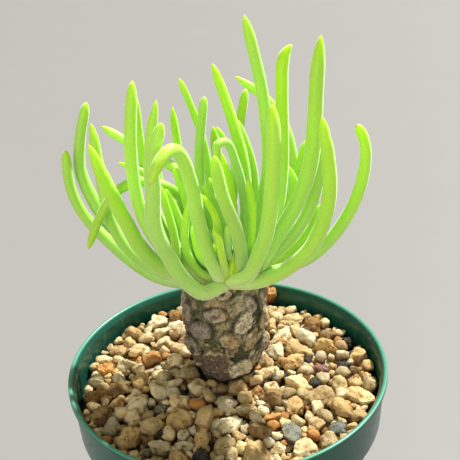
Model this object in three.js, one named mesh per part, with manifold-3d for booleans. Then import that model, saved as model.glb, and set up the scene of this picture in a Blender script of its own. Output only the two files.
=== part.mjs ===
// A potted succulent: a knobbly trunk with a crown of finger-like leaves, standing in
// gravel in a round plastic pot. Millimetres, +Z up. The origin is at the centre of the
// pot's foot, on the surface that the pot stands on. The front is towards -Y.

import * as THREE from "three";
import { mergeVertices } from "three/addons/utils/BufferGeometryUtils.js";
import Module from "manifold-3d";

const wasm = await Module();
wasm.setup();

// Driving dimensions

const CLEARANCE = 0.3; // gap between two solids that touch

const POT_HEIGHT = 88;
const RIM_RADIUS = 52.5;
const LIP_HEIGHT = 2;
const LIP_ROUND = 0.5; // taken off the lip's edges
const WALL = 1.4;
const COLLAR_RADIUS = 51.6; // outside, just under the lip
const COLLAR_DEPTH = 18; // from the rim down to the step
const COLLAR_DRAFT = 1; // it is this much narrower at its foot
const STEP_DEPTH = 2;
const BODY_RADIUS = 48; // outside, just under the step
const FOOT_RADIUS = 37;
const FOOT_WIDTH = 7; // the ring that the pot stands on
const FOOT_RISE = 2.5; // the floor is raised this much inside the ring
const FLOOR = 1.8;
const DRAIN_RADIUS = 4;
const DRAIN_CIRCLE = 21;
const DRAIN_COUNT = 6;
const DRAIN_SIDES = 12;
const POT_SIDES = 40;

const GRAVEL_EDGE_Z = 78.8; // the bed between its top grains, at the wall
const GRAVEL_TOP_Z = 82.3; // and round the trunk
const GRAVEL_SIDES = 36;
const GRAIN_SEED = 20;
const GRAIN_TRIES = 9000;
const GRAIN_SMALLEST = 2.7; // radius
const GRAIN_LARGEST = 4.6;
const GRAIN_NEAREST = 0.9; // how near two grains lie, as a part of their radii together
const GRAIN_HEIGHT = 0.42; // half height, as a part of the half length and half width
const GRAIN_RISE = 0.35; // the middle stands this part of that above the bed
const GRAIN_VARIES = 0.2; // longer and narrower by up to this part
const STONE_SWELL = [0.9, 1.15]; // how far a stone's corners stand out
const NECK_RADIUS = 8.8; // of the trunk, at the gravel

const TRUNK_CENTRE = new THREE.Vector3(-0.3, 5, 0);
const TRUNK_SIDES = 32;
const TRUNK_ROWS = 20;
const CROWN_Z = 111; // centre of the dome that the leaves grow from
const CROWN_RADIUS = 12.6;
const CROWN_HEIGHT = 13.5;

const LEAF_SIDES = 7;
const THIN_LEAF_SIDES = 6;
const THIN_LEAF = 3.2;
const LEAF_SAMPLE_STEP = 2; // for keeping leaves clear of each other
const LEAF_GAP = 0.75;
const OUTSIDE_REACH = 0.88; // leaves may touch within this part of the crown
const SETTLE_ROUNDS = 400;
const FIRM_LEAVES = { front: 0.25, right: 0.6, left: 0.6 }; // how much they give way to the others
const CLEAR_ENOUGH = 0.02; // leaves this near their gap are clear
const PUSH_SHARE = 0.3; // of what is missing from the gap, in one round
const SMOOTH_PASSES = 3;
const BASE_GIVE = 0.25; // how freely a leaf's base moves, against 1 for the rest of it
const BASE_POINTS = 8;

const GREEN_PLASTIC = new THREE.MeshStandardMaterial({ color: 0x2c5f50, roughness: 0.3 });
const STONE = new THREE.MeshStandardMaterial({ color: 0xcdae7e, roughness: 0.95 });
const BARK = new THREE.MeshStandardMaterial({ color: 0x8d8069, roughness: 0.9 });
const LEAF_GREEN = new THREE.MeshStandardMaterial({ color: 0x9bcb45, roughness: 0.45 });

// Solids

// A closed geometry as a solid that can be joined and cut.
function solidOf(geometry) {
  const bare = new THREE.BufferGeometry();
  bare.setAttribute("position", geometry.getAttribute("position"));
  bare.setIndex(geometry.index);
  const merged = mergeVertices(bare, 1e-4);
  return new wasm.Manifold(
    new wasm.Mesh({
      numProp: 3,
      vertProperties: new Float32Array(merged.getAttribute("position").array),
      triVerts: new Uint32Array(merged.index.array),
    }),
  );
}

function geometryOf(solid) {
  const mesh = solid.getMesh();
  const geometry = new THREE.BufferGeometry();
  geometry.setAttribute("position", new THREE.BufferAttribute(mesh.vertProperties, 3));
  geometry.setIndex(new THREE.BufferAttribute(mesh.triVerts, 1));
  geometry.computeVertexNormals();
  return geometry;
}

// The largest body of a solid, without the scraps that a cut leaves.
function largestOf(solid) {
  const bodies = solid.decompose();
  bodies.sort((a, b) => b.volume() - a.volume());
  return bodies[0];
}

// A closed skin over rings of points, each ring with the same count. The first ring is
// closed at its own middle, and the last one at the tip. The rings turn anticlockwise as
// seen from the tip.
function skin(rings, tip) {
  const sides = rings[0].length;
  const points = rings.flat();
  const faces = [];
  for (let k = 0; k + 1 < rings.length; k++) {
    for (let i = 0; i < sides; i++) {
      const a = k * sides + i;
      const b = k * sides + ((i + 1) % sides);
      faces.push(a, b, b + sides);
      faces.push(a, b + sides, a + sides);
    }
  }
  const middle = new THREE.Vector3();
  for (const p of rings[0]) middle.addScaledVector(p, 1 / sides);
  const start = points.push(middle) - 1;
  const end = points.push(tip) - 1;
  for (let i = 0; i < sides; i++) {
    const next = (i + 1) % sides;
    const last = (rings.length - 1) * sides;
    faces.push(next, i, start);
    faces.push(last + i, last + next, end);
  }
  const geometry = new THREE.BufferGeometry().setFromPoints(points);
  geometry.setIndex(faces);
  return geometry;
}

// A profile of [radius, z] turned about +Z. It runs anticlockwise: up the outside.
function turned(profile, sides) {
  const points = profile.map(([r, z]) => new THREE.Vector2(r, z));
  const geometry = new THREE.LatheGeometry(points, sides);
  return geometry.rotateX(Math.PI / 2);
}

const group = new THREE.Group();

function addPiece(name, geometry, material) {
  const mesh = new THREE.Mesh(geometry, material);
  mesh.name = name;
  group.add(mesh);
}

// Seeded draws between 0 and 1, so that each run gives the same part.
function drawsFrom(seed) {
  let state = seed;
  return () => {
    state = (state * 16807) % 2147483647;
    return state / 2147483647;
  };
}

// Pot

const COLLAR_Z = POT_HEIGHT - COLLAR_DEPTH;

// The outside radius of the pot's wall at a height, under the lip.
function potRadius(z) {
  if (z >= COLLAR_Z) {
    const t = (z - COLLAR_Z) / (POT_HEIGHT - COLLAR_Z);
    return THREE.MathUtils.lerp(COLLAR_RADIUS - COLLAR_DRAFT, COLLAR_RADIUS, t);
  }
  if (z >= COLLAR_Z - STEP_DEPTH) {
    const t = (z - COLLAR_Z + STEP_DEPTH) / STEP_DEPTH;
    return THREE.MathUtils.lerp(BODY_RADIUS, COLLAR_RADIUS - COLLAR_DRAFT, t);
  }
  return THREE.MathUtils.lerp(FOOT_RADIUS, BODY_RADIUS, z / (COLLAR_Z - STEP_DEPTH));
}

function potGeometry() {
  const floorTop = FOOT_RISE + FLOOR;
  const lipZ = POT_HEIGHT - LIP_HEIGHT;
  const inner = (z) => potRadius(z) - WALL;
  const profile = [
    [0, FOOT_RISE],
    [FOOT_RADIUS - FOOT_WIDTH, FOOT_RISE],
    [FOOT_RADIUS - FOOT_WIDTH, 0],
    [FOOT_RADIUS, 0],
    [potRadius(COLLAR_Z - STEP_DEPTH), COLLAR_Z - STEP_DEPTH],
    [potRadius(COLLAR_Z), COLLAR_Z],
    [potRadius(lipZ), lipZ],
    [RIM_RADIUS, lipZ + LIP_ROUND],
    [RIM_RADIUS, POT_HEIGHT - LIP_ROUND],
    [RIM_RADIUS - LIP_ROUND, POT_HEIGHT],
    [inner(POT_HEIGHT), POT_HEIGHT],
    [inner(COLLAR_Z), COLLAR_Z],
    [inner(COLLAR_Z - STEP_DEPTH), COLLAR_Z - STEP_DEPTH],
    [inner(floorTop), floorTop],
    [0, floorTop],
  ];
  let pot = solidOf(turned(profile, POT_SIDES));
  for (let i = 0; i <= DRAIN_COUNT; i++) {
    const drill = new THREE.CylinderGeometry(DRAIN_RADIUS, DRAIN_RADIUS, 4 * FLOOR, DRAIN_SIDES);
    drill.rotateX(Math.PI / 2);
    const out = i === DRAIN_COUNT ? 0 : DRAIN_CIRCLE;
    const turn = (2 * Math.PI * i) / DRAIN_COUNT;
    drill.translate(out * Math.cos(turn), out * Math.sin(turn), FOOT_RISE + FLOOR / 2);
    pot = pot.subtract(solidOf(drill));
  }
  return geometryOf(pot);
}

addPiece("pot", potGeometry(), GREEN_PLASTIC);

// Trunk

// [z, radius] up the trunk, from the root stump through the neck at the gravel and the
// widest part to the crown, where the dome takes over.
const TRUNK_PROFILE = [
  [52, 2.5],
  [60, 4.2],
  [70, 6],
  [78, 7.2],
  [82, 7.9],
  [85, 9.3],
  [90, 11.3],
  [95, 12.2],
  [101, 12.7],
  [107, 12.4],
  [112, 11.9],
  [117, 10.8],
  [121, 8.6],
  [123.6, 5],
];

// The scars that show most, as [turn in degrees, z, half width, height]. A turn of 0 is
// the front, and it grows towards the right.
const TRUNK_SCARS = [
  [0, 118.5, 2.2, 0.9],
  [-15, 110, 3.4, 1.1],
  [-42, 104, 3.6, 1.2],
  [8, 100.5, 3.6, 1.3],
  [33, 107, 3.4, 1.1],
  [48, 113, 2.4, 0.9],
  [74, 108, 2.8, 1],
  [-72, 112, 3.4, 1],
  [-62, 98, 3, 0.9],
  [-24, 94, 4.6, 1.2],
  [36, 90, 3.8, 1],
  [44, 100, 3.6, 1],
  [-4, 87, 3, 0.7],
  [70, 97, 3.4, 1],
];

const SCAR_STRETCH = 1.15; // a scar is this much wider than high
const SCAR_SEED = 7;
// The scars round the back stand in rows like the ones in front, each row half a step on.
const REAR_SCARS = {
  rows: 6,
  lowest: 88, // z
  rowStep: 6.2,
  from: 100, // turn in degrees
  to: 262,
  step: 36,
  scatter: 2, // in z
  turnScatter: 8,
  size: [2.8, 4],
  height: [0.8, 1.3],
};

function trunkScars() {
  const draw = drawsFrom(SCAR_SEED);
  const { rows, lowest, rowStep, from, to, step, scatter, turnScatter, size, height } = REAR_SCARS;
  const scars = [...TRUNK_SCARS];
  for (let row = 0; row < rows; row++) {
    for (let turn = from + (step / 2) * (row % 2); turn < to; turn += step) {
      const z = lowest + rowStep * row + scatter * (draw() - 0.5);
      const degrees = turn + turnScatter * (draw() - 0.5);
      const halfWidth = THREE.MathUtils.lerp(...size, draw());
      scars.push([degrees, z, halfWidth, THREE.MathUtils.lerp(...height, draw())]);
    }
  }
  return scars;
}

// The trunk, or with a gap the room that it needs.
function trunkGeometry(gap = 0) {
  const shape = new THREE.CatmullRomCurve3(
    TRUNK_PROFILE.map(([z, r]) => new THREE.Vector3(r, 0, z)),
  );
  const scars = trunkScars();
  const rings = [];
  for (let k = 0; k <= TRUNK_ROWS; k++) {
    const at = shape.getPointAt(k / TRUNK_ROWS);
    const ring = [];
    for (let i = 0; i < TRUNK_SIDES; i++) {
      const turn = (2 * Math.PI * i) / TRUNK_SIDES;
      let radius = at.x;
      for (const [degrees, z, size, height] of scars) {
        let across = turn - THREE.MathUtils.degToRad(degrees);
        across = Math.atan2(Math.sin(across), Math.cos(across)) * at.x;
        const far = ((across / SCAR_STRETCH) ** 2 + (at.z - z) ** 2) / size ** 2;
        radius += height * Math.exp(-(far ** 3));
      }
      const x = TRUNK_CENTRE.x + (radius + gap) * Math.sin(turn);
      const y = TRUNK_CENTRE.y - (radius + gap) * Math.cos(turn);
      ring.push(new THREE.Vector3(x, y, at.z + gap * (k / TRUNK_ROWS)));
    }
    rings.push(ring);
  }
  const top = new THREE.Vector3(TRUNK_CENTRE.x, TRUNK_CENTRE.y, CROWN_Z + CROWN_HEIGHT + gap);
  return skin(rings, top);
}

const trunkAndGap = solidOf(trunkGeometry(CLEARANCE));
addPiece("caudex", trunkGeometry(), BARK);

// Gravel

// Stones that stand out in the photograph, as [x, y, half length, half width, turn of the
// length in degrees].
const STONES = [
  [-32, -27, 6, 4.6, 75],
  [-37, -3, 3.8, 3.6, 0],
  [-41, -15, 4.2, 3.8, 30],
  [-44, -5, 4.1, 2.8, 10],
  [-44, 3, 4.3, 3.4, -10],
  [-42, 10, 3.5, 3.2, 0],
  [-22, 21, 4.3, 3, 15],
  [-27, 18, 1.9, 1.6, 0],
  [-22, -14, 2.6, 2.3, 0],
  [-9, -29, 4.8, 2.8, 85],
  [-22, -32, 4.3, 3.2, -5],
  [12, -1, 3.7, 3.5, 0],
  [13, -22, 3.2, 2.6, 0],
  [9, -10, 2.9, 2.4, 70],
  [18, -29, 4.3, 3.5, 80],
  [21, -18, 4.4, 3.8, 60],
  [29, -12, 4.9, 4.6, 30],
  [26, -26, 3.9, 3.2, 75],
  [33, -28, 3.2, 3.1, 0],
  [31, 1, 3.4, 2.2, 0],
  [43, 17, 2.9, 2.8, 0],
  [39, 3, 3.4, 2.4, 0],
  [45, 8, 4, 3.6, 60],
  [45.5, -2, 2.6, 2.5, 0],
  [20, 21, 5, 3.2, 20],
  [22, 41, 2.4, 2, 0],
  [15, 44.5, 3.4, 3.2, 0],
  [25, 32, 4.1, 3.2, 10],
  [34, 13, 5.2, 4.2, -10],
  [22, 4, 4.4, 3.7, 20],
  [28, 7, 1.8, 1.7, 0],
];
const LEANING_STONE = [15, 45.5, 2.9, 2.6, 90]; // it stands on its end on the one under it
const LEANING_STONE_Z = 83.6;
const LEANING_STONE_HEIGHT = 3.6; // half

const innerRadius = (z) => potRadius(z) - WALL;
const GRAVEL_RADIUS = innerRadius(COLLAR_Z) - CLEARANCE;

// The height of the bed between its top grains, at a distance from the trunk.
function gravelZ(x, y) {
  const far = Math.hypot(x - TRUNK_CENTRE.x, y - TRUNK_CENTRE.y) / RIM_RADIUS;
  return THREE.MathUtils.lerp(GRAVEL_TOP_Z, GRAVEL_EDGE_Z, Math.min(far, 1));
}

// Every grain of the top layer, as [x, y, half length, half width, turn]. The large ones
// are thrown first and the small ones fill the room between them.
function topGrains() {
  const draw = drawsFrom(GRAIN_SEED);
  const grains = STONES.slice();
  for (let k = 0; k < GRAIN_TRIES; k++) {
    const size = THREE.MathUtils.lerp(GRAIN_LARGEST, GRAIN_SMALLEST, Math.sqrt(k / GRAIN_TRIES));
    const far = (GRAVEL_RADIUS - size) * Math.sqrt(draw());
    const turn = 2 * Math.PI * draw();
    const x = far * Math.cos(turn);
    const y = far * Math.sin(turn);
    const onTrunk = Math.hypot(x - TRUNK_CENTRE.x, y - TRUNK_CENTRE.y) < NECK_RADIUS + size;
    const taken = grains.some(([gx, gy, long, wide]) => {
      return Math.hypot(x - gx, y - gy) < GRAIN_NEAREST * (size + (long + wide) / 2);
    });
    if (onTrunk || taken) continue;
    const long = size * (1 + GRAIN_VARIES * draw());
    const wide = size * (1 - GRAIN_VARIES + GRAIN_VARIES * draw());
    grains.push([x, y, long, wide, 360 * draw()]);
  }
  return grains;
}

// A rough stone with few faces, its lower part in the bed.
function stone([x, y, long, wide, degrees], height, z, draw) {
  const geometry = new THREE.BufferGeometry();
  const ball = new THREE.IcosahedronGeometry(1, 0);
  geometry.setAttribute("position", ball.getAttribute("position"));
  const rough = mergeVertices(geometry, 1e-4);
  const position = rough.getAttribute("position");
  for (let i = 0; i < position.count; i++) {
    const swell = THREE.MathUtils.lerp(...STONE_SWELL, draw());
    position.setXYZ(i, position.getX(i) * swell, position.getY(i) * swell, position.getZ(i) * swell);
  }
  rough.rotateX(Math.PI * draw());
  rough.scale(long, wide, height);
  rough.rotateZ(THREE.MathUtils.degToRad(degrees));
  rough.translate(x, y, z);
  return rough;
}

function gravelGeometry() {
  const floorTop = FOOT_RISE + FLOOR + CLEARANCE;
  const side = (z) => [innerRadius(z) - CLEARANCE, z];
  const profile = [
    [0, floorTop],
    side(floorTop),
    side(COLLAR_Z - STEP_DEPTH),
    side(COLLAR_Z),
    [GRAVEL_RADIUS, GRAVEL_EDGE_Z],
    [0, GRAVEL_TOP_Z],
  ];
  const room = [...profile.slice(0, 4), side(POT_HEIGHT), [0, POT_HEIGHT]];
  const draw = drawsFrom(GRAIN_SEED + 1);
  let bed = solidOf(turned(profile, GRAVEL_SIDES));
  for (const grain of topGrains()) {
    const [x, y, long, wide] = grain;
    const height = GRAIN_HEIGHT * (long + wide);
    bed = bed.add(solidOf(stone(grain, height, gravelZ(x, y) + height * GRAIN_RISE, draw)));
  }
  bed = bed.add(solidOf(stone(LEANING_STONE, LEANING_STONE_HEIGHT, LEANING_STONE_Z, draw)));
  bed = bed.intersect(solidOf(turned(room, GRAVEL_SIDES)));
  return geometryOf(largestOf(bed.subtract(trunkAndGap)));
}

addPiece("gravel", gravelGeometry(), STONE);

// Leaves

// Each leaf is its greatest width and the points of its middle line, from the crown to
// the tip, chosen by eye from the photograph and from how such leaves lean and bow.
const LEAVES = {
  left: [
    [4.1, [-9, 9, 114], [-17, 11, 114], [-25, 13, 119], [-35, 14, 128], [-43, 15, 138], [-46, 15, 149],
      [-46, 16, 160]],
    [4.5, [-10, 11, 116], [-20, 14, 118], [-28, 16, 123], [-35, 18, 131], [-40, 19, 141], [-43, 20, 152],
      [-41.5, 21, 163], [-38.5, 22, 173]],
    [3.8, [-9, 7, 117], [-18, 8, 118], [-26, 8, 124], [-32, 8, 133], [-34.5, 8, 144], [-35.3, 9, 158],
      [-36.3, 11, 170]],
    [5, [-9, 3, 119], [-18, 0, 125], [-23.7, -2, 133], [-27.5, -4, 144], [-31.5, -6, 157],
      [-35, -7, 170.3]],
    [3.4, [-2, 4, 122], [-5, 4, 136], [-10, 4, 146], [-17, 4, 152], [-24, 3, 154], [-30, 3, 151],
      [-36, 3, 143], [-41, 3, 132]],
    [4.2, [-7, 1, 122], [-15, -1, 129], [-20, -3, 138], [-23, -4, 148], [-24, -4, 160], [-23.3, -4, 173],
      [-21.5, -2, 186.3]],
    [2.8, [-9, 9, 120], [-15, 8, 129], [-19, 8, 139], [-21, 8, 151], [-22, 8, 165], [-22, 10, 178]],
    [3.4, [-3, 9, 121], [-4, 8, 133], [-6, 8, 144], [-10, 10, 152], [-16, 12, 156.5], [-26, 15, 161.5],
      [-34, 17, 166.7]],
    [2.5, [-6, 8, 121], [-10, 6, 135], [-15, 5, 147], [-21, 5, 155], [-29, 6, 159]],
  ],
  front: [
    [4.8, [-1.8, -6.8, 121.9], [-3.9, -9.3, 121.6], [-6, -11, 121.8], [-8.6, -12.5, 124.3],
      [-12.9, -15.5, 133.4], [-17, -21, 147], [-18, -23, 156], [-16, -25, 168], [-13, -25, 182]],
    [4.3, [-0.8, -6, 124.2], [-2.3, -8.5, 128.8], [-3.8, -11, 134.8], [-5.7, -14, 148], [-7, -18, 162],
      [-9, -22, 171], [-11, -24, 174], [-14, -27, 173], [-17, -32, 168]],
    [4.1, [5, -4, 124.5], [6.1, -10.5, 134.8], [4.4, -15.5, 146.8], [1.4, -19, 158], [-0.2, -20, 170]],
    [4.6, [4.4, -7, 122.6], [7.5, -9.5, 127.5], [9.8, -12, 132.5], [13.5, -16, 144], [15, -18, 157],
      [16, -18, 170], [16, -16, 182]],
    [4.7, [7, -3.5, 119.8], [11.2, -6.5, 122.4], [14.8, -9.5, 125.2], [20.3, -13, 130.4],
      [27.5, -15.5, 139.9], [31.3, -17, 156.5], [30.6, -17, 168.5], [29.2, -16, 177.7]],
    [2.4, [3, 1, 126], [2, -5, 137], [0, -8, 148], [-4, -9, 157]],
    [2.4, [0, 0, 126], [0, -9, 138], [-1, -13, 149], [-5, -14, 156]],
    [2.4, [2, -4, 124], [1, -11, 132], [1, -15, 141], [-2, -16, 146]],
    [2.1, [4, -2, 125], [3, -8, 132], [2, -11, 139], [2, -12, 145]],
    [2.4, [-3, -1, 124], [-5, -7, 130], [-7, -9, 137], [-8, -9, 144]],
    [2.7, [-2.8, -5, 123.8], [-6.2, -6, 126.6], [-9.6, -8, 132.5], [-10.3, -10, 140], [-9.2, -11, 148],
      [-7.7, -10, 153]],
  ],
  middle: [
    [3.4, [-7, -3, 123], [-13, -5, 133], [-18, -7, 144], [-19, -8, 157], [-18, -8, 170], [-15, -7, 182]],
    [3, [-6, 10, 121], [-11, 10, 132], [-11.5, 12, 144], [-11.2, 13, 158], [-12, 16, 172]],
    [2.8, [-4, 4, 123], [-7, 1, 134], [-9, 0, 146], [-12, 0, 159]],
    [2.6, [-1, 14, 118], [-2, 18, 130], [-2, 21, 143], [-3, 24, 155], [-6, 25, 167], [-9.6, 26, 177.6]],
    [3.3, [-1, 7, 122], [-4, 6, 132], [-5, 6, 143], [-5, 6, 154], [-4, 8, 165], [-2, 9, 177]],
    [4.0, [5, 5, 122], [8, 6, 134], [9, 8, 146], [8, 11, 159], [5, 14, 171], [1, 18, 184]],
    [3.3, [3, 13, 119], [4, 17, 132], [6, 20, 146], [8, 23, 160], [11, 26, 173]],
    [3.2, [7, 9, 120], [11, 11, 132], [12, 13, 143], [11, 14, 155], [7, 16, 167]],
    [2.2, [3, 10, 122], [4, 13, 134], [6, 15, 146], [5, 17, 156], [1, 18, 164]],
    [3, [5, 2, 126], [8, -3, 142], [7, -6, 156], [3.4, -11, 169.6], [1.5, -12, 171.6], [0.4, -13, 170.5],
      [1, -13, 166]],
    [2.4, [6, 0, 125], [5, -6, 142], [4, -8, 155], [2, -9, 166]],
    [2.1, [-1, 4, 125], [0, 1, 135], [-1, 1, 145], [-2, 2, 154]],
    [2.4, [8, 0, 123], [9, -7, 135], [10, -9, 147], [9, -9, 158]],
    [2.7, [-9, -2, 122], [-13, -6, 133], [-14, -8, 144], [-16, -8, 157]],
    [3.1, [-6, 1, 122], [-10, -2, 132], [-12, -4, 144], [-15, -4, 154]],
    [4.3, [8, 5, 122], [12, 6, 132], [14, 6, 143], [16, 7, 154], [16, 7, 166], [15, 8, 177], [13, 8, 189],
      [10.6, 9, 200]],
    [4, [10, 2, 124], [16, 1, 136], [19, 1, 149], [20, 1, 162], [20.1, 1.5, 178], [20.6, 2, 188],
      [21.5, 3, 191], [23.4, 3, 192.4]],
  ],
  right: [
    [3.6, [11, 10, 120], [18, 15, 128], [24, 19, 138], [25, 22, 150], [23, 26, 160], [18, 28, 168],
      [8, 30, 176]],
    [4.8, [10, -3, 124], [15, -5, 133], [18.6, -6, 139.5], [23.8, -8, 150.4], [27.2, -9, 163],
      [28.2, -8.6, 174], [29, -8, 187], [30.3, -6, 197]],
    [4, [11, 1, 121], [22, 0, 123], [31, -1, 129], [38.8, -2, 140.5], [42.6, -3, 151],
      [43.5, -3, 160.4], [42.8, -3, 166.7], [40.9, -3, 170]],
    [4.0, [10, 0, 123], [20, 0, 131], [27, 0, 141], [30, -1, 152], [31, -2, 166]],
    [3.8, [11, 6, 120], [21, 7, 124], [29, 8, 131], [32, 8, 140]],
    [2.9, [10, 8, 120], [17, 10, 126], [21, 12, 135], [25, 13, 147], [28, 14, 159]],
    [2.8, [11, 5, 122], [18, 6, 131], [23, 6, 140], [24, 6, 148], [22, 5, 155]],
  ],
  rear: [
    [3.8, [-5, 14, 118], [-11, 23, 123], [-17, 30, 132], [-20, 34, 144], [-19, 36, 157]],
    [4.0, [1, 16, 117], [2, 26, 121], [2, 34, 130], [1, 39, 142], [0, 40, 156]],
    [3.6, [7, 14, 117], [13, 22, 122], [17, 28, 131], [19, 31, 143], [18, 32, 155]],
    [3.4, [-9, 12, 118], [-16, 19, 125], [-21, 24, 136], [-22, 27, 149]],
    [3.4, [9, 11, 117], [17, 16, 119], [24, 21, 125], [27, 24, 135]],
    [3.0, [0, 12, 121], [0, 16, 132], [-1, 19, 143], [0, 21, 153]],
  ],
};

// How the width runs along a leaf, as [part of the length, part of the greatest width].
const LEAF_TAPER = [
  [0, 0.5],
  [0.1, 0.78],
  [0.22, 1],
  [0.5, 1],
  [0.7, 0.97],
  [0.85, 0.92],
  [0.93, 0.84],
  [0.985, 0.5],
  [1, 0],
];
const LEAF_RINGS = 8; // evenly shared over its length and its bends, before the tip's two
const SHORT_LEAF_RINGS = 5;
const TIP_RINGS = [0.93, 0.985];
const RING_GAP = 0.03; // kept between the last shared ring and the first tip ring
const BEND_STEPS = 60; // the line's bends are summed in this many steps
const BEND_SHARE = 14; // a bend of one radian counts as this much length
const SHORT_LEAF = 40;
const ROOT_DEPTH = 0.78; // a leaf starts at this part of the way out to the dome

const LEAF_SIDEWAYS = new THREE.Vector3(0.2, 0.9, 0.4); // no leaf starts out along it

const crownCentre = new THREE.Vector3(TRUNK_CENTRE.x, TRUNK_CENTRE.y, CROWN_Z);

// 1 on the crown's dome, less inside it and more outside.
function crownReach(p) {
  const across = Math.hypot(p.x - crownCentre.x, p.y - crownCentre.y) / CROWN_RADIUS;
  return Math.hypot(across, (p.z - CROWN_Z) / CROWN_HEIGHT);
}

function leafWidth(width, t) {
  let k = 1;
  while (LEAF_TAPER[k][0] < t) k++;
  const [t0, w0] = LEAF_TAPER[k - 1];
  const [t1, w1] = LEAF_TAPER[k];
  return width * THREE.MathUtils.mapLinear(t, t0, t1, w0, w1);
}

// A leaf's middle line from inside the crown to the tip, as evenly spaced points.
function leafLine([width, ...points]) {
  const route = points.map((p) => new THREE.Vector3(...p));
  const reach = crownReach(route[0]);
  if (reach > ROOT_DEPTH) {
    const root = route[0].clone().sub(crownCentre).multiplyScalar(ROOT_DEPTH / reach);
    route.unshift(root.add(crownCentre));
  }
  const curve = new THREE.CatmullRomCurve3(route, false, "centripetal");
  const count = Math.round(curve.getLength() / LEAF_SAMPLE_STEP);
  const line = curve.getSpacedPoints(count);
  const radii = line.map((_, k) => leafWidth(width, k / count) / 2);
  return { width, line, radii };
}

// Leaves that cross are bent apart. Each point of one leaf that comes too near a point of
// another moves away from it, the moves are smoothed along the leaf so that it stays one
// even bow, and this is done until every leaf is clear.
function settle(leaves) {
  for (let round = 0; round < SETTLE_ROUNDS; round++) {
    let worst = 0;
    for (const leaf of leaves) {
      leaf.moves = leaf.line.map(() => new THREE.Vector3());
      leaf.outside = leaf.line.map((p) => crownReach(p) > OUTSIDE_REACH);
    }
    for (let i = 0; i < leaves.length; i++) {
      for (let j = i + 1; j < leaves.length; j++) {
        worst = Math.max(worst, pushApart(leaves[i], leaves[j]));
      }
    }
    for (const leaf of leaves) moveLeaf(leaf);
    if (worst < CLEAR_ENOUGH) return;
  }
}

const between = new THREE.Vector3();

function pushApart(one, other) {
  let worst = 0;
  for (let a = 0; a < one.line.length; a++) {
    for (let b = 0; b < other.line.length; b++) {
      const need = one.radii[a] + other.radii[b] + LEAF_GAP;
      between.subVectors(one.line[a], other.line[b]);
      const far = between.length();
      if (far >= need || !(one.outside[a] && other.outside[b])) continue;
      worst = Math.max(worst, need - far);
      between.multiplyScalar((2 * PUSH_SHARE * (need - far)) / far / (one.give + other.give));
      one.moves[a].addScaledVector(between, one.give);
      other.moves[b].addScaledVector(between, -other.give);
    }
  }
  return worst;
}

function moveLeaf(leaf) {
  let moves = leaf.moves;
  for (let pass = 0; pass < SMOOTH_PASSES; pass++) {
    moves = moves.map((move, k) => {
      const before = moves[Math.max(k - 1, 0)];
      const after = moves[Math.min(k + 1, moves.length - 1)];
      return move.clone().multiplyScalar(2).add(before).add(after).multiplyScalar(0.25);
    });
  }
  for (let k = 0; k < moves.length; k++) {
    leaf.line[k].addScaledVector(moves[k], Math.min(1, BASE_GIVE + k / BASE_POINTS));
  }
}

// Where a leaf's rings stand along it, from 0 to 1: closer together where it bends more.
function leafStops(curve, count) {
  const step = 1 / BEND_STEPS;
  const reached = [0];
  for (let k = 1; k <= BEND_STEPS; k++) {
    const bend = curve.getTangentAt((k - 1) * step).angleTo(curve.getTangentAt(k * step));
    reached.push(reached[k - 1] + curve.getLength() * step + BEND_SHARE * bend);
  }
  const stops = [];
  for (let ring = 0; ring < count; ring++) {
    const goal = (reached[BEND_STEPS] * ring) / count;
    const k = Math.max(1, reached.findIndex((far) => far >= goal));
    const t = (k - 1 + (goal - reached[k - 1]) / (reached[k] - reached[k - 1])) * step;
    if (t < TIP_RINGS[0] - RING_GAP) stops.push(t);
  }
  return [...stops, ...TIP_RINGS];
}

// A finger-like leaf: round rings along its middle line, closed in a point at the tip.
function leafGeometry({ width, line }) {
  const curve = new THREE.CatmullRomCurve3(line);
  const length = curve.getLength();
  const stops = leafStops(curve, length < SHORT_LEAF ? SHORT_LEAF_RINGS : LEAF_RINGS);
  const sides = width < THIN_LEAF ? THIN_LEAF_SIDES : LEAF_SIDES;
  const side = new THREE.Vector3();
  const up = new THREE.Vector3();
  side.crossVectors(curve.getTangentAt(0), LEAF_SIDEWAYS);
  const rings = stops.map((t) => {
    const middle = curve.getPointAt(t);
    const along = curve.getTangentAt(t);
    side.addScaledVector(along, -side.dot(along)).normalize();
    up.crossVectors(along, side);
    const radius = (leafWidth(width, t) / 2) * Math.sqrt(1 / Math.cos(Math.PI / sides));
    return Array.from({ length: sides }, (_, i) => {
      const turn = (2 * Math.PI * i) / sides;
      return middle
        .clone()
        .addScaledVector(side, radius * Math.cos(turn))
        .addScaledVector(up, radius * Math.sin(turn));
    });
  });
  return skin(rings, line[line.length - 1]);
}

const leaves = [];
for (const [place, rows] of Object.entries(LEAVES)) {
  rows.forEach((row, k) => {
    const name = `leaf_${place}_${k + 1}`;
    leaves.push({ name, give: FIRM_LEAVES[place] ?? 1, ...leafLine(row) });
  });
}
settle(leaves);
for (const leaf of leaves) {
  const cut = solidOf(leafGeometry(leaf)).subtract(trunkAndGap);
  addPiece(leaf.name, geometryOf(largestOf(cut)), LEAF_GREEN);
}

export default group;
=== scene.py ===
"""A potted succulent: a knobbly caudex with a crown of finger-like leaves, standing in gravel
in a round green plastic pot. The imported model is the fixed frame, and each piece here is a
finer surface laid over one of its nodes or standing on it. Metres, +Z up, the front at -Y."""

import bpy
import numpy as np
from bpy.props import FloatProperty, FloatVectorProperty, IntProperty, PointerProperty
from mathutils import Matrix, Vector


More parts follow.
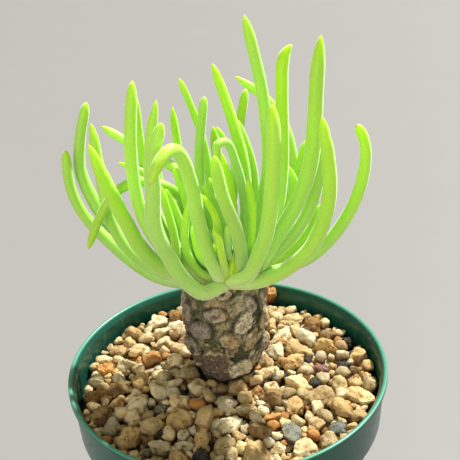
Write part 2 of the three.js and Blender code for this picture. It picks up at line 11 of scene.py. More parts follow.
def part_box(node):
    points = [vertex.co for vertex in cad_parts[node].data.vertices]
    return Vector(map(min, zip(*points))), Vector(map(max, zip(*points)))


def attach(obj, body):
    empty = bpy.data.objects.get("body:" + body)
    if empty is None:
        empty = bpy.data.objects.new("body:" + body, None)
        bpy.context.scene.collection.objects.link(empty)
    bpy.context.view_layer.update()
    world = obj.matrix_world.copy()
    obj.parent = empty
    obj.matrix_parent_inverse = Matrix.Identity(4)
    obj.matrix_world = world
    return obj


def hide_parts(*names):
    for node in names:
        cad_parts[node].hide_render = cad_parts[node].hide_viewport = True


bl_info = {
    "name": "Potted caudex succulent",
    "version": (1, 0, 0),
    "blender": (4, 5, 0),
    "location": "3D View > Sidebar > Succulent",
    "description": "Builds a potted succulent's surfaces and its stage round the packed model",
    "category": "Add Mesh",
}

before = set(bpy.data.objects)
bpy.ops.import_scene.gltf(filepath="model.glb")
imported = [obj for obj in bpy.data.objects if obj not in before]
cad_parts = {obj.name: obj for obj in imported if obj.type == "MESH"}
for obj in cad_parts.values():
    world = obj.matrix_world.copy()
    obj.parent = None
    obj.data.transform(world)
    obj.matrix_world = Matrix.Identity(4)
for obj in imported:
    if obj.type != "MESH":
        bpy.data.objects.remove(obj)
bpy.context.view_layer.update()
POT_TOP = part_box("pot")[1]

MM = 0.001
RIM_RADIUS = POT_TOP.x
POT_HEIGHT = POT_TOP.z


# Settings


def linear(red, green, blue):
    """A colour of 0 to 255 a channel as the linear one that a shader takes: the part c becomes
    ((c + 0.055) / 1.055) ^ 2.4, or c / 12.92 in the darkest shades."""
    parts = np.array([red, green, blue]) / 255
    curved = ((parts + 0.055) / 1.055) ** 2.4
    return tuple(float(c) for c in np.where(parts <= 0.04045, parts / 12.92, curved))


def colour_setting(name, description, *channels):
    """A colour in the panel, of 0 to 255 a channel."""
    return FloatVectorProperty(
        name=name, description=description, default=linear(*channels), subtype="COLOR"
    )


def length_setting(name, description, millimetres):
    """A length in the panel."""
    return FloatProperty(
        name=name, description=description, default=millimetres * MM, unit="LENGTH"
    )


def angle_setting(name, description, degrees):
    """An angle in the panel."""
    return FloatProperty(
        name=name, description=description, default=np.radians(degrees), subtype="ANGLE"
    )


# Numbers and noise


def drawn(seed):
    """Seeded draws from 0 to 1: each one is the last one's whole number times 16807, kept
    below 2147483647, as a part of that."""
    state = seed
    while True:
        state = state * 16807 % 2147483647
        yield state / 2147483647


def smooth_step(low, high, value):
    """0 below low, 1 above high, and 3t^2 - 2t^3 of the part t between them."""
    t = np.clip((value - low) / (high - low), 0, 1)
    return t * t * (3 - 2 * t)


def blended(low, high, part):
    """The colours between two, by a part for each point."""
    low = np.asarray(low)
    return low + (np.asarray(high) - low) * np.asarray(part)[..., None]


def unit(vectors, axis=-1):
    """The vectors, each divided by its length."""
    return vectors / np.linalg.norm(vectors, axis=axis, keepdims=True)


def even_angles(count):
    """Angles that share a whole turn evenly."""
    return np.linspace(0, 2 * np.pi, count, endpoint=False)


CELL_FACTORS = np.array([73856093, 19349663, 83492791])
SEED_FACTOR = 2654435


def cell_value(cell, seed):
    """A value from -1 to 1 for each whole-numbered cell: its numbers and the seed, each times
    a large odd factor, are added, and the sum's bits are folded over and multiplied twice."""
    mixed = (cell @ CELL_FACTORS + seed * SEED_FACTOR).astype(np.uint32)
    for fold, factor in ((15, 2246822519), (13, 3266489917)):
        mixed = (mixed ^ (mixed >> np.uint32(fold))) * np.uint32(factor)
    return (mixed ^ (mixed >> np.uint32(16))) / 2**31 - 1


def noise(points, size, seed=0):
    """Smooth noise from -1 to 1 with bumps about size across: the values at the eight corners
    of a point's cell, blended by 3t^2 - 2t^3 of its place between them."""
    place = points / size
    cell = np.floor(place).astype(np.int64)
    t = smooth_step(0, 1, place - cell)
    total = 0
    for corner in np.ndindex(2, 2, 2):
        near = np.where(corner, t, 1 - t).prod(-1)
        total = total + near * cell_value(cell + corner, seed)
    return total


def layered(points, size, seed=0, layers=3):
    """Noise plus noise of half the size and half the height, layers times over."""
    return sum(noise(points, size / 2**k, seed + k) / 2**k for k in range(layers))


def spots(points, size, seed=0):
    """The distance, in parts of size, from each point to the nearest of a set of seeded spots,
    of which every cell of a lattice of that size holds one."""
    place = points / size
    cell = np.floor(place).astype(np.int64)
    nearest = np.full(place.shape[:-1], 9.0)
    for step in np.ndindex(3, 3, 3):
        other = cell + step - 1
        shift = np.stack([cell_value(other, seed + k) for k in range(3)], -1)
        away = np.linalg.norm(place - other - 0.5 - 0.5 * shift, axis=-1)
        nearest = np.minimum(nearest, away)
    return nearest


def through(at, knots, values):
    """A smooth curve through the values at the knots: on each stretch the cubic that starts
    and ends with the slopes taken from the neighbouring knots."""
    slopes = np.gradient(values, knots, axis=0)
    k = np.clip(np.searchsorted(knots, at, "right") - 1, 0, len(knots) - 2)
    width = knots[k + 1] - knots[k]
    t = (at - knots[k]) / width
    t, width = (part.reshape(-1, *[1] * (values.ndim - 1)) for part in (t, width))
    start = (1 + 2 * t) * (1 - t) ** 2 * values[k] + t * (1 - t) ** 2 * width * slopes[k]
    end = t * t * (3 - 2 * t) * values[k + 1] + t * t * (t - 1) * width * slopes[k + 1]
    return start + end


def reached(line):
    """The distance along a line to each of its points."""
    steps = np.linalg.norm(np.diff(line, axis=0), axis=1)
    return np.concatenate([[0], np.cumsum(steps)])


def smooth_line(points, parts, soft, steps=400):
    """The smooth curve through the points, at the given parts of its length. Its bends are
    eased by a running mean over a length of soft, under a cosine bell, with each end going
    on as its own mirror turned half round."""
    knots = reached(points)
    fine = through(np.linspace(0, knots[-1], steps), knots, points)
    reach = int(steps / 2 * soft / knots[-1]) + 1
    bell = np.hanning(2 * reach + 3)[1:-1]
    longer = np.pad(fine, ((reach, reach), (0, 0)), "reflect", reflect_type="odd")
    fine = np.stack([np.convolve(axis, bell / bell.sum(), "valid") for axis in longer.T], -1)
    far = reached(fine)
    return np.stack([np.interp(parts * far[-1], far, fine[:, k]) for k in range(3)], -1)


# Meshes


def node_points(node):
    """The points of a frame's node with those at one place merged, and for each of its own
    vertices the number of its point."""
    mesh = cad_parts[node].data
    points = np.empty(len(mesh.vertices) * 3, np.float32)
    mesh.vertices.foreach_get("co", points)
    points = np.round(points.reshape(-1, 3).astype(float), 6)
    points, merged = np.unique(points, axis=0, return_inverse=True)
    return points, merged.reshape(-1)


def skin(rows, start, end):
    """Points and faces of a skin over rows of points, joined round each row and closed with a
    fan at its start point and its end point. It faces outwards where each row runs
    anticlockwise, seen from the next one."""
    count, around = rows.shape[:2]
    low = np.arange((count - 1) * around).reshape(count - 1, around)
    high = low + around
    quads = np.stack([low, np.roll(low, -1, 1), np.roll(high, -1, 1), high], -1)
    first, last = low[0], high[-1]
    total = count * around
    fans = [
        np.stack([np.roll(first, -1), first, np.full(around, total)], -1),
        np.stack([last, np.roll(last, -1), np.full(around, total + 1)], -1),
    ]
    return np.concatenate([rows.reshape(-1, 3), [start, end]]), [quads.reshape(-1, 4), *fans]


def new_piece(name, points, faces, material, slot, node=None, **attributes):
    """A smooth mesh of the points and faces that rides on the part's one body. A node is the
    CAD node that it stands for. An attribute is a number or a colour for each point."""
    mesh = bpy.data.meshes.new(name)
    faces = [face for kind in faces for face in kind.tolist()]
    mesh.from_pydata(points, [], faces, shade_flat=False)
    for key, values in attributes.items():
        values = np.asarray(values, np.float32)
        if values.ndim == 2:
            values = np.insert(values, 3, 1, axis=1)
            mesh.attributes.new(key, "FLOAT_COLOR", "POINT").data.foreach_set("color", values.ravel())
        else:
            mesh.attributes.new(key, "FLOAT", "POINT").data.foreach_set("value", values)
    mesh.materials.append(material)
    piece = bpy.data.objects.new(name, mesh)
    bpy.context.scene.collection.objects.link(piece)
    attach(piece, "root")
    if node:
        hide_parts(node)
    return piece


# Material nodes


def wire(tree, socket, value):
    """Links a socket to another, or gives it a value."""
    if isinstance(value, bpy.types.NodeSocket):
        tree.links.new(value, socket)
    elif socket.type == "RGBA" and len(value) == 3:
        socket.default_value = (*value, 1)
    else:
        socket.default_value = value


def add(tree, kind, inputs=None, **settings):
    """A new node of a kind, with its settings, and its inputs by name or number."""
    made = tree.nodes.new("ShaderNode" + kind)
    for key, value in settings.items():
        setattr(made, key, value)
    for key, value in (inputs or {}).items():
        wire(tree, made.inputs[key], value)
    return made


def mixed(tree, factor, one, other, blend="MIX"):
    """The colour between one and other, by factor."""
    inputs = {0: factor, 6: one, 7: other}
    return add(tree, "Mix", inputs, data_type="RGBA", blend_type=blend, clamp_result=True).outputs[2]


def spread(tree, value, low, high, to_low=0.0, to_high=1.0):
    """A value's stretch from low to high, mapped to another stretch and held at its ends."""
    inputs = {"Value": value, "From Min": low, "From Max": high, "To Min": to_low, "To Max": to_high}
    return add(tree, "MapRange", inputs).outputs["Result"]


def sums(tree, operation, one, other):
    """Two values added, multiplied and so on."""
    return add(tree, "Math", {0: one, 1: other}, operation=operation).outputs[0]


def cloud(tree, place, size, detail=3.0, roughness=0.55):
    """Noise from 0 to 1 with patches about size across."""
    inputs = {"Vector": place, "Scale": 1 / size, "Detail": detail, "Roughness": roughness}
    return add(tree, "TexNoise", inputs).outputs["Fac"]


def tinted(tree, colour, *channels):
    """A colour times another one, of 0 to 255 a channel."""
    return mixed(tree, 1.0, colour, linear(*channels), "MULTIPLY")


def attribute(tree, name, output="Color"):
    """What the mesh holds for each point under a name."""
    return add(tree, "Attribute", attribute_name=name).outputs[output]


def new_material(name, roughness, specular=0.5, **fixed):
    """A material with one Principled shader, its tree and the place on the object."""
    material = bpy.data.materials.new(name)
    material.use_nodes = True
    tree = material.node_tree
    fixed.update(Roughness=roughness, Specular_IOR_Level=specular)
    for key, value in fixed.items():
        tree.nodes["Principled BSDF"].inputs[key.replace("_", " ")].default_value = value
    return material, tree, add(tree, "TexCoord").outputs["Object"]


def finish_material(material, colour, roughness=None, height=None, depth=0.0):
    """Links a material's colour, roughness and bump. The bump is depth metres high where
    height is 1."""
    tree = material.node_tree
    inputs = tree.nodes["Principled BSDF"].inputs
    wire(tree, inputs["Base Color"], colour)
    if roughness is not None:
        wire(tree, inputs["Roughness"], roughness)
    if height is not None:
        bump = add(tree, "Bump", {"Height": height, "Strength": 1.0, "Distance": depth})
        wire(tree, inputs["Normal"], bump.outputs["Normal"])
    return material


# Pot


WALL = 1.4  # millimetres


class PotSettings(bpy.types.PropertyGroup):
    wall: length_setting("Wall", "Thickness of the plastic", WALL)
    lip: length_setting("Lip", "Height of the lip round the rim", 2)
    collar: length_setting("Collar", "From the rim down to the step", 18)
    foot: length_setting("Foot", "Radius that the pot stands on", 37)
    plastic: colour_setting("Plastic", "Colour of the plastic", 20, 74, 60)
    # edge: a painted highlight and glow along the top of the lip.
    edge: colour_setting("Edge", "Where light comes through the thin lip", 80, 150, 124)
    dust: colour_setting("Dust", "Dry splashes on the inside", 150, 155, 140)


STEP_HEIGHT = 2 * MM
COLLAR_RADIUS = RIM_RADIUS - 0.9 * MM  # outside, under the lip
COLLAR_DRAFT = 1 * MM
BODY_RADIUS = RIM_RADIUS - 4.5 * MM  # outside, under the step
LIP_WIDTH = 1 * MM  # across the top of the lip
FOOT_WIDTH = 7 * MM
FOOT_SLANT = 0.6 * MM
FOOT_RISE = 2.5 * MM
FLOOR = 1.8 * MM
AXIS_GAP = 1 * MM  # the first and last ring's radius, which a fan closes
LONGEST_FACE = 4 * MM
POT_SIDES = 168
DRAIN_RADIUS = 4 * MM
DRAIN_CIRCLE = 21 * MM
DRAIN_COUNT = 6
DRAIN_SIDES = 32


def pot_radius(z, settings):
    """The wall's outside radius at a height: one straight taper up the body, one up the step
    and one up the collar."""
    step = POT_HEIGHT - settings.collar
    heights = [0, step - STEP_HEIGHT, step, POT_HEIGHT]
    radii = [settings.foot, BODY_RADIUS, COLLAR_RADIUS - COLLAR_DRAFT, COLLAR_RADIUS]
    return np.interp(z, heights, radii)


def rounded(corners, cuts, steps=6):
    """The outline through the corners, each rounded off by a quadratic Bezier curve that
    starts and ends its cut away from the corner."""
    corner = corners[1:-1]
    cuts = cuts[:, None]
    start = corner + cuts * unit(corners[:-2] - corner)
    end = corner + cuts * unit(corners[2:] - corner)
    t = np.linspace(0, 1, steps)[:, None, None]
    curves = (1 - t) ** 2 * start + 2 * t * (1 - t) * corner + t * t * end
    curves = curves.transpose(1, 0, 2).reshape(-1, 2)
    return np.concatenate([corners[:1], curves, corners[-1:]])


def filled_in(line, step):
    """The line with points added, so that none lie further apart than step."""
    lengths = np.linalg.norm(np.diff(line, axis=0), axis=1)
    counts = np.maximum(1, np.ceil(lengths / step)).astype(int)
    stretch = np.repeat(np.arange(len(counts)), counts)
    within = np.arange(counts.sum()) - np.repeat(np.cumsum(counts) - counts, counts)
    t = (within / counts[stretch])[:, None]
    return np.concatenate([line[stretch] * (1 - t) + line[stretch + 1] * t, line[-1:]])


def turned(outline, sides):
    """Rows of points round the Z axis: (r cos a, r sin a, z) for each [r, z] of the outline
    and each of the angles a."""
    angle = even_angles(sides)
    r = outline[:, :1]
    z = np.repeat(outline[:, 1:], sides, 1)
    return np.stack([r * np.cos(angle), r * np.sin(angle), z], -1)


def pot_outline(settings):
    """The wall's cut from the middle of the floor's underside, up the outside, over the lip
    and down the inside to the middle of the floor, with each corner's rounding."""
    step = POT_HEIGHT - settings.collar
    lip = POT_HEIGHT - settings.lip
    floor = FOOT_RISE + FLOOR

    def outer(z):
        return pot_radius(z, settings), z

    def inner(z):
        return pot_radius(z, settings) - settings.wall, z

    corners = (
        (AXIS_GAP, FOOT_RISE), (settings.foot - FOOT_WIDTH, FOOT_RISE),
        (settings.foot - FOOT_WIDTH + FOOT_SLANT, 0), (settings.foot, 0),
        outer(step - STEP_HEIGHT), outer(step), outer(lip),
        (RIM_RADIUS, lip + 0.3 * MM), (RIM_RADIUS, POT_HEIGHT),
        (RIM_RADIUS - LIP_WIDTH, POT_HEIGHT), inner(lip),
        inner(step), inner(step - STEP_HEIGHT), inner(floor), (AXIS_GAP, floor),
    )
    cuts = (1, 0.5, 1.2, 1, 1, 0.3, 0.3, 0.5, 0.45, 0.6, 1, 1, 1.5)
    return filled_in(rounded(np.array(corners), np.array(cuts) * MM), LONGEST_FACE)


def drilled(piece, drills):
    """Cuts the drills out of a piece with a Boolean modifier that is applied at once."""
    cutter = new_piece("drills", *drills, piece.data.materials[0], "pot")
    cut = piece.modifiers.new("holes", "BOOLEAN")
    cut.object = cutter
    cut.solver = "EXACT"
    ready = piece.evaluated_get(bpy.context.evaluated_depsgraph_get())
    mesh = bpy.data.meshes.new_from_object(ready)
    piece.modifiers.clear()
    piece.data = mesh
    bpy.data.objects.remove(cutter)


def drain_drills():
    """Round bars down through the floor, one in the middle and the others round it."""
    angle = even_angles(DRAIN_COUNT)
    places = np.stack([np.cos(angle), np.sin(angle), 0 * angle], -1) * DRAIN_CIRCLE
    places = np.concatenate([np.zeros((1, 3)), places])[:, None]
    top = 2 * (FOOT_RISE + FLOOR)
    rows = turned(np.array([[DRAIN_RADIUS, 0], [DRAIN_RADIUS, top]]), DRAIN_SIDES)
    bar, kinds = skin(rows, (0, 0, 0), (0, 0, top))
    shift = np.arange(len(places))[:, None, None] * len(bar)
    faces = [(face + shift).reshape(-1, face.shape[1]) for face in kinds]
    return (bar + places).reshape(-1, 3), faces


def plastic_material(settings):
    """Satin moulded plastic: a painted highlight and glow along the top of the lip, faintly
    streaked round the wall, and dusty on the inside near the gravel."""
    material, tree, place = new_material("green_plastic", 0.3, 0.35)
    height = add(tree, "SeparateXYZ", {"Vector": place}).outputs["Z"]
    # Painted highlight and glow: the top of the lip takes the edge colour.
    lip = spread(tree, height, POT_HEIGHT - 0.7 * MM, POT_HEIGHT - 0.2 * MM)
    patches = spread(tree, cloud(tree, place, 9 * MM), 0.35, 0.7)
    colour = mixed(tree, patches, settings.plastic, [c * 1.25 for c in settings.plastic])
    colour = mixed(tree, lip, colour, settings.edge)
    streaks = add(tree, "Mapping", {"Vector": place, "Scale": (1, 1, 0.25)}).outputs["Vector"]
    dry = spread(tree, cloud(tree, streaks, 2.6 * MM, 6, 0.7), 0.56, 0.74)
    dust = sums(tree, "MULTIPLY", dry, attribute(tree, "inside", "Fac"))
    colour = mixed(tree, sums(tree, "MULTIPLY", dust, 0.3), colour, settings.dust)
    worn = cloud(tree, place, 1.2 * MM, 4)
    rough = spread(tree, worn, 0.3, 0.8, 0.24, 0.42)
    return finish_material(material, colour, rough, worn, 0.02 * MM)


class SUCCULENT_OT_pot(bpy.types.Operator):
    """Turns the pot's cut round its axis and drills the drain holes"""

    bl_idname = "succulent.pot"
    bl_label = "Make pot"

    def execute(self, context):
        settings = context.scene.succulent.pot
        outline = pot_outline(settings)
        points, faces = skin(
            turned(outline, POT_SIDES), (0, 0, outline[0, 1]), (0, 0, outline[-1, 1])
        )
        inside = np.arange(len(outline)) > np.argmax(outline[:, 1])
        inside = np.concatenate([np.repeat(inside, POT_SIDES), [0, 1]])
        piece = new_piece(
            "pot_moulding", points, faces, plastic_material(settings), "pot", "pot", inside=inside
        )
        drilled(piece, drain_drills())
        return {"FINISHED"}


# Gravel


class GravelSettings(bpy.types.PropertyGroup):
    cream: colour_setting("Cream", "Pale porous grains", 222, 210, 176)
    tan: colour_setting("Tan", "The commonest grains", 202, 180, 134)
    ochre: colour_setting("Ochre", "Orange-brown grains", 186, 140, 82)
    brown: colour_setting("Brown", "Dull brown grains", 142, 116, 78)
    grey: colour_setting("Grey", "Grey pebbles", 126, 130, 122)
    dark: colour_setting("Dark", "Lava grains", 58, 58, 62)
    mauve: colour_setting("Mauve", "A few slate chips", 146, 106, 104)
    # Painted shade: the colour that darkens the grains' dents, pits and undersides.
    cavity_shade: FloatVectorProperty(
        name="Cavity", description="What the dents and pores of a grain do to its colour",
        default=(0.36, 0.25, 0.13), subtype="COLOR",
    )


TRUNK_X = -0.3 * MM
TRUNK_Y = 5 * MM
NECK_RADIUS = 8.8  # millimetres, as the other numbers of thrown grains
BED_EDGE_Z = 78.8 * MM
BED_TOP_Z = 82.3 * MM
BED_GAP = 0.3 * MM  # to the pot
BED_RADIUS = COLLAR_RADIUS - COLLAR_DRAFT - WALL * MM - BED_GAP
DRAFT_Z = 70 * MM  # the wall leans outwards from here up
BED_SUNK = 3 * MM  # the mix, below the bed's mean height
BED_SIDES = 120
BED_SIDE_ROWS = 24
BED_TOP_ROWS = 60
GRAIN_HEIGHT = 0.42  # half of it, in parts of half the length and half the width together
GRAIN_WORN = 0.9  # of the solid bed's own grains, which are a little plumper
FEW_FACES = 6  # grains with no more faces a side than this get no pits
NAME_SEED, TINT_SEED, SHAPE_SEED = 70, 80, 90  # for the first group of grains

# Seed, tries, half size of the first and the last, least gap in parts of both half sizes, and
# how far past the bed's radius: the solid bed's own grains, the small ones between them, and
# those that show underneath.
SOLID_THROW = (20, 9000, (4.6, 2.7), 0.9, 0)
SMALL_THROW = (31, 12000, (2.8, 1.2), 0.84, 0.6)
UNDER_THROW = (57, 5000, (3.0, 2.0), 0.75, 0)

# The stones that stand out, in millimetres, as the solid bed has them: x, y, half length, half
# width, turn in degrees, and their colour.
STONES = (
    (-32, -27, 6, 4.6, 75, "tan"), (-37, -3, 3.8, 3.6, 0, "brown"),
    (-41, -15, 4.2, 3.8, 30, "brown"), (-44, -5, 4.1, 2.8, 10, "ochre"),
    (-44, 3, 4.3, 3.4, -10, "cream"), (-42, 10, 3.5, 3.2, 0, "ochre"),
    (-22, 21, 4.3, 3, 15, "cream"), (-27, 18, 1.9, 1.6, 0, "dark"),
    (-22, -14, 2.6, 2.3, 0, "grey"), (-9, -29, 4.8, 2.8, 85, "tan"),
    (-22, -32, 4.3, 3.2, -5, "cream"), (12, -1, 3.7, 3.5, 0, "cream"),
    (13, -22, 3.2, 2.6, 0, "ochre"), (9, -10, 2.9, 2.4, 70, "ochre"),
    (18, -29, 4.3, 3.5, 80, "grey"), (21, -18, 4.4, 3.8, 60, "tan"),
    (29, -12, 4.9, 4.6, 30, "tan"), (26, -26, 3.9, 3.2, 75, "tan"),
    (33, -28, 3.2, 3.1, 0, "grey"), (31, 1, 3.4, 2.2, 0, "mauve"),
    (43, 17, 2.9, 2.8, 0, "dark"), (39, 3, 3.4, 2.4, 0, "dark"),
    (45, 8, 4, 3.6, 60, "tan"), (45.5, -2, 2.6, 2.5, 0, "tan"),
    (20, 21, 5, 3.2, 20, "cream"), (22, 41, 2.4, 2, 0, "cream"),
    (15, 44.5, 3.4, 3.2, 0, "tan"), (25, 32, 4.1, 3.2, 10, "tan"),
    (34, 13, 5.2, 4.2, -10, "tan"), (22, 4, 4.4, 3.7, 20, "tan"),
    (28, 7, 1.8, 1.7, 0, "dark"),
)
LEANING_STONE = (17.5, 45.5, 2.9, 2.6, 90, "ochre")
LEANING_STONE_Z = 84.8 * MM
LEANING_STONE_HEIGHT = 3.6 * MM

# How common each colour is among the other grains.
GRAIN_COLOURS = {
    "cream": 0.42, "tan": 0.43, "ochre": 0.07, "brown": 0.05, "grey": 0.012, "dark": 0.016,
    "mauve": 0.004,
}


def bed_z(x, y):
    """The height of the bed between its top grains: a straight slope from the trunk's axis
    to a rim's radius away."""
    far = np.hypot(x - TRUNK_X, y - TRUNK_Y) / RIM_RADIUS
    return BED_TOP_Z + (BED_EDGE_Z - BED_TOP_Z) * np.minimum(far, 1)


def thrown(grains, seed, tries, sizes, nearest, past):
    """Grains thrown at seeded places in the pot, the largest first. One that would lie nearer
    to another than nearest times both their radii, or on the trunk, is left out."""
    draw = drawn(seed)
    taken = np.array([[x, y, (long + wide) / 2] for x, y, long, wide, _ in grains]).reshape(-1, 3)
    grains = list(grains)
    for k in range(tries):
        size = sizes[0] + (sizes[1] - sizes[0]) * np.sqrt(k / tries)
        far = (BED_RADIUS / MM + past - size) * np.sqrt(next(draw))
        angle = 2 * np.pi * next(draw)
        x = far * np.cos(angle)
        y = far * np.sin(angle)
        if np.hypot(x - TRUNK_X / MM, y - TRUNK_Y / MM) < NECK_RADIUS + size:
            continue
        if (np.hypot(taken[:, 0] - x, taken[:, 1] - y) < nearest * (size + taken[:, 2])).any():
            continue
        grain = (x, y, size * (1 + 0.2 * next(draw)), size * (0.8 + 0.2 * next(draw)), 360 * next(draw))
        grains.append(grain)
        taken = np.vstack([taken, [x, y, (grain[2] + grain[3]) / 2]])
    return grains


def ball_grid(count):
    """Points and faces of a unit ball made of six square grids of count by count faces: each
    grid lies on a cube's side, at the tangents of even angles, and is drawn in to the ball."""
    steps = np.tan(np.linspace(-np.pi / 4, np.pi / 4, count + 1))
    u, v = np.meshgrid(steps, steps, indexing="ij")
    one = np.ones_like(u)
    sides = [np.stack([u, v, one], -1), np.stack([v, u, -one], -1)]
    sides += [np.roll(side, shift, -1) for side in sides for shift in (1, 2)]
    points = np.concatenate([side.reshape(-1, 3) for side in sides])
    index = np.arange(len(points)).reshape(6, count + 1, count + 1)
    low, high = index[:, :-1], index[:, 1:]
    faces = np.stack([low[..., :-1], high[..., :-1], high[..., 1:], low[..., 1:]], -1).reshape(-1, 4)
    _, first, merged = np.unique(np.round(points, 6), axis=0, return_index=True, return_inverse=True)
    return unit(points[first]), merged.reshape(-1)[faces]


def turning(axis, angle):
    """The matrices that turn by an angle about a unit axis, one for each stone: the identity,
    plus sin a times the cross matrix K, plus (1 - cos a) times K squared."""
    x, y, z = axis.T
    nil = np.zeros_like(x)
    cross = np.stack([nil, -z, y, z, nil, -x, -y, x, nil], -1).reshape(-1, 3, 3)
    angle = angle[:, None, None]
    return np.eye(3) + np.sin(angle) * cross + (1 - np.cos(angle)) * cross @ cross


def stones(places, halves, turns, colours, cavity_shade, count, seed):
    """Rough stones, as points, faces and a colour for each point. Each is a ball made more or
    less square by dividing its points by their 2nd to 3rd power mean. What stands past one of
    six seeded planes is pressed back by four fifths, two seeded dents are sunk as
    exp(-(1 - cos a) / w) of the angle a from their middles, noise of three sizes lumps it,
    and pits are sunk at seeded spots. Then it is scaled, tilted, turned and put in place. Its
    low places and pits, and its underside, are darkened by the cavity_shade colour: painted shade."""
    ball, faces = ball_grid(count)
    number = len(places)
    random = np.random.default_rng(seed)
    power = random.uniform(2, 3, (number, 1, 1))
    shape = ball / (np.abs(ball) ** power).sum(-1, keepdims=True) ** (1 / power)
    for _ in range(6):
        plane = unit(random.normal(size=(number, 1, 3)))
        past = (shape * plane).sum(-1, keepdims=True) - random.uniform(0.5, 0.85, (number, 1, 1))
        shape = shape - 0.8 * plane * np.maximum(past, 0)
    place = ball + random.uniform(-50, 50, (number, 1, 3))
    lumps = 0.2 * noise(place, 0.8, 1) + 0.16 * noise(place, 0.4, 2)
    for _ in range(2):
        dent = unit(random.normal(size=(number, 3, 1)), 1)
        lumps = lumps - 0.22 * np.exp((np.matmul(ball, dent)[..., 0] - 1) / 0.1)
    low = smooth_step(0.0, -0.3, lumps)
    if count > FEW_FACES:
        worn = smooth_step(0.1, 0.5, noise(place, 0.9, 5))
        pits = worn * (1 - smooth_step(0.12, 0.4, spots(place, 0.36, 3)))
        lumps = lumps - 0.1 * pits + 0.06 * noise(place, 0.17, 4)
        low = np.maximum(low, 0.9 * pits)
    shape = shape * (1 + lumps)[..., None] * halves[:, None]
    slope = random.uniform(0, 2 * np.pi, number)
    flat = np.stack([np.cos(slope), np.sin(slope), np.zeros(number)], -1)
    tilt = turning(flat, random.normal(0, 0.3, number))
    turn = turning(np.tile([0, 0, 1.0], (number, 1)), turns)
    shape = np.einsum("nij,npj->npi", tilt @ turn, shape)
    # The lower part of each grain, which gets painted shade.
    under = smooth_step(0.4, -0.45, shape[..., 2] / halves[:, None, 2])
    points = (shape + places[:, None]).reshape(-1, 3)
    index = (faces + np.arange(number)[:, None, None] * len(ball)).reshape(-1, 4)
    cavity_shade = np.array(cavity_shade)
    # Painted shade: the cavity_shade colour darkens the low places and pits, and the underside.
    shade = colours[:, None] * (1 + (cavity_shade**0.5 - 1) * low[..., None])
    shade = shade * (1 + (cavity_shade - 1) * under[..., None])
    return points, [index], shade.reshape(-1, 3)


def kept_in_pot(points):
    """Points past the inside of the pot's wall are drawn in to it."""
    far = np.hypot(points[:, 0], points[:, 1])
    limit = np.interp(points[:, 2], [DRAFT_Z, POT_HEIGHT], [BED_RADIUS, BED_RADIUS + COLLAR_DRAFT])
    points[:, :2] *= np.minimum(1, limit / np.maximum(far, 1e-9))[:, None]
    return points


def grain_colours(names, settings, seed):
    """Each grain's colour: its named one, made lighter or darker by about 0.13 of itself, and
    warmer or cooler by about 0.06, as bell-shaped draws."""
    random = np.random.default_rng(seed)
    colours = np.array([getattr(settings, name) for name in names])
    light = random.normal(1, 0.13, (len(names), 1))
    warm = random.normal(0, 0.06, len(names))
    tint = np.stack([1 + warm, np.ones_like(warm), 1 - 1.5 * warm], -1)
    return np.clip(colours * light * tint, 0.01, 0.95)


def drawn_names(number, seed):
    """Seeded names of colours, each as common as its share."""
    shares = np.array(list(GRAIN_COLOURS.values()))
    random = np.random.default_rng(seed)
    return random.choice(list(GRAIN_COLOURS), number, p=shares / shares.sum())


def stone_material():
    """Porous stone: the grain's colour and painted shade from the mesh, mottled warm and pale,
    with pores of two sizes darkened as painted shade, and pale grit, and rough."""
    material, tree, place = new_material("gravel_stone", 0.88, 0.25)
    own = attribute(tree, "stone_colour")
    mottle = cloud(tree, place, 1.3 * MM, 5, 0.65)
    warmer = tinted(tree, own, 246, 228, 192)
    colour = mixed(tree, spread(tree, mottle, 0.38, 0.6), own, warmer)
    worn = cloud(tree, place, 2.6 * MM)
    holes = []
    for size, low, high in ((0.95 * MM, 0.34, 0.16), (0.42 * MM, 0.3, 0.1)):
        cells = add(tree, "TexVoronoi", {"Vector": place, "Scale": 1 / size})
        holes.append(spread(tree, cells.outputs["Distance"], low, high))
    pores = sums(tree, "MULTIPLY", sums(tree, "MAXIMUM", *holes), spread(tree, worn, 0.5, 0.62))
    # Painted shade: the pores take a darker colour.
    darker = tinted(tree, own, 150, 114, 72)
    colour = mixed(tree, pores, colour, darker)
    grit = cloud(tree, place, 0.4 * MM, 4, 0.7)
    colour = mixed(tree, spread(tree, grit, 0.55, 0.72, 0.0, 0.45), colour, linear(240, 226, 192))
    colour = mixed(tree, spread(tree, grit, 0.4, 0.28, 0.0, 0.5), colour, darker)
    height = sums(tree, "SUBTRACT", sums(tree, "MULTIPLY", grit, 0.6), pores)
    height = sums(tree, "ADD", height, mottle)
    return finish_material(material, colour, None, height, 0.34 * MM)


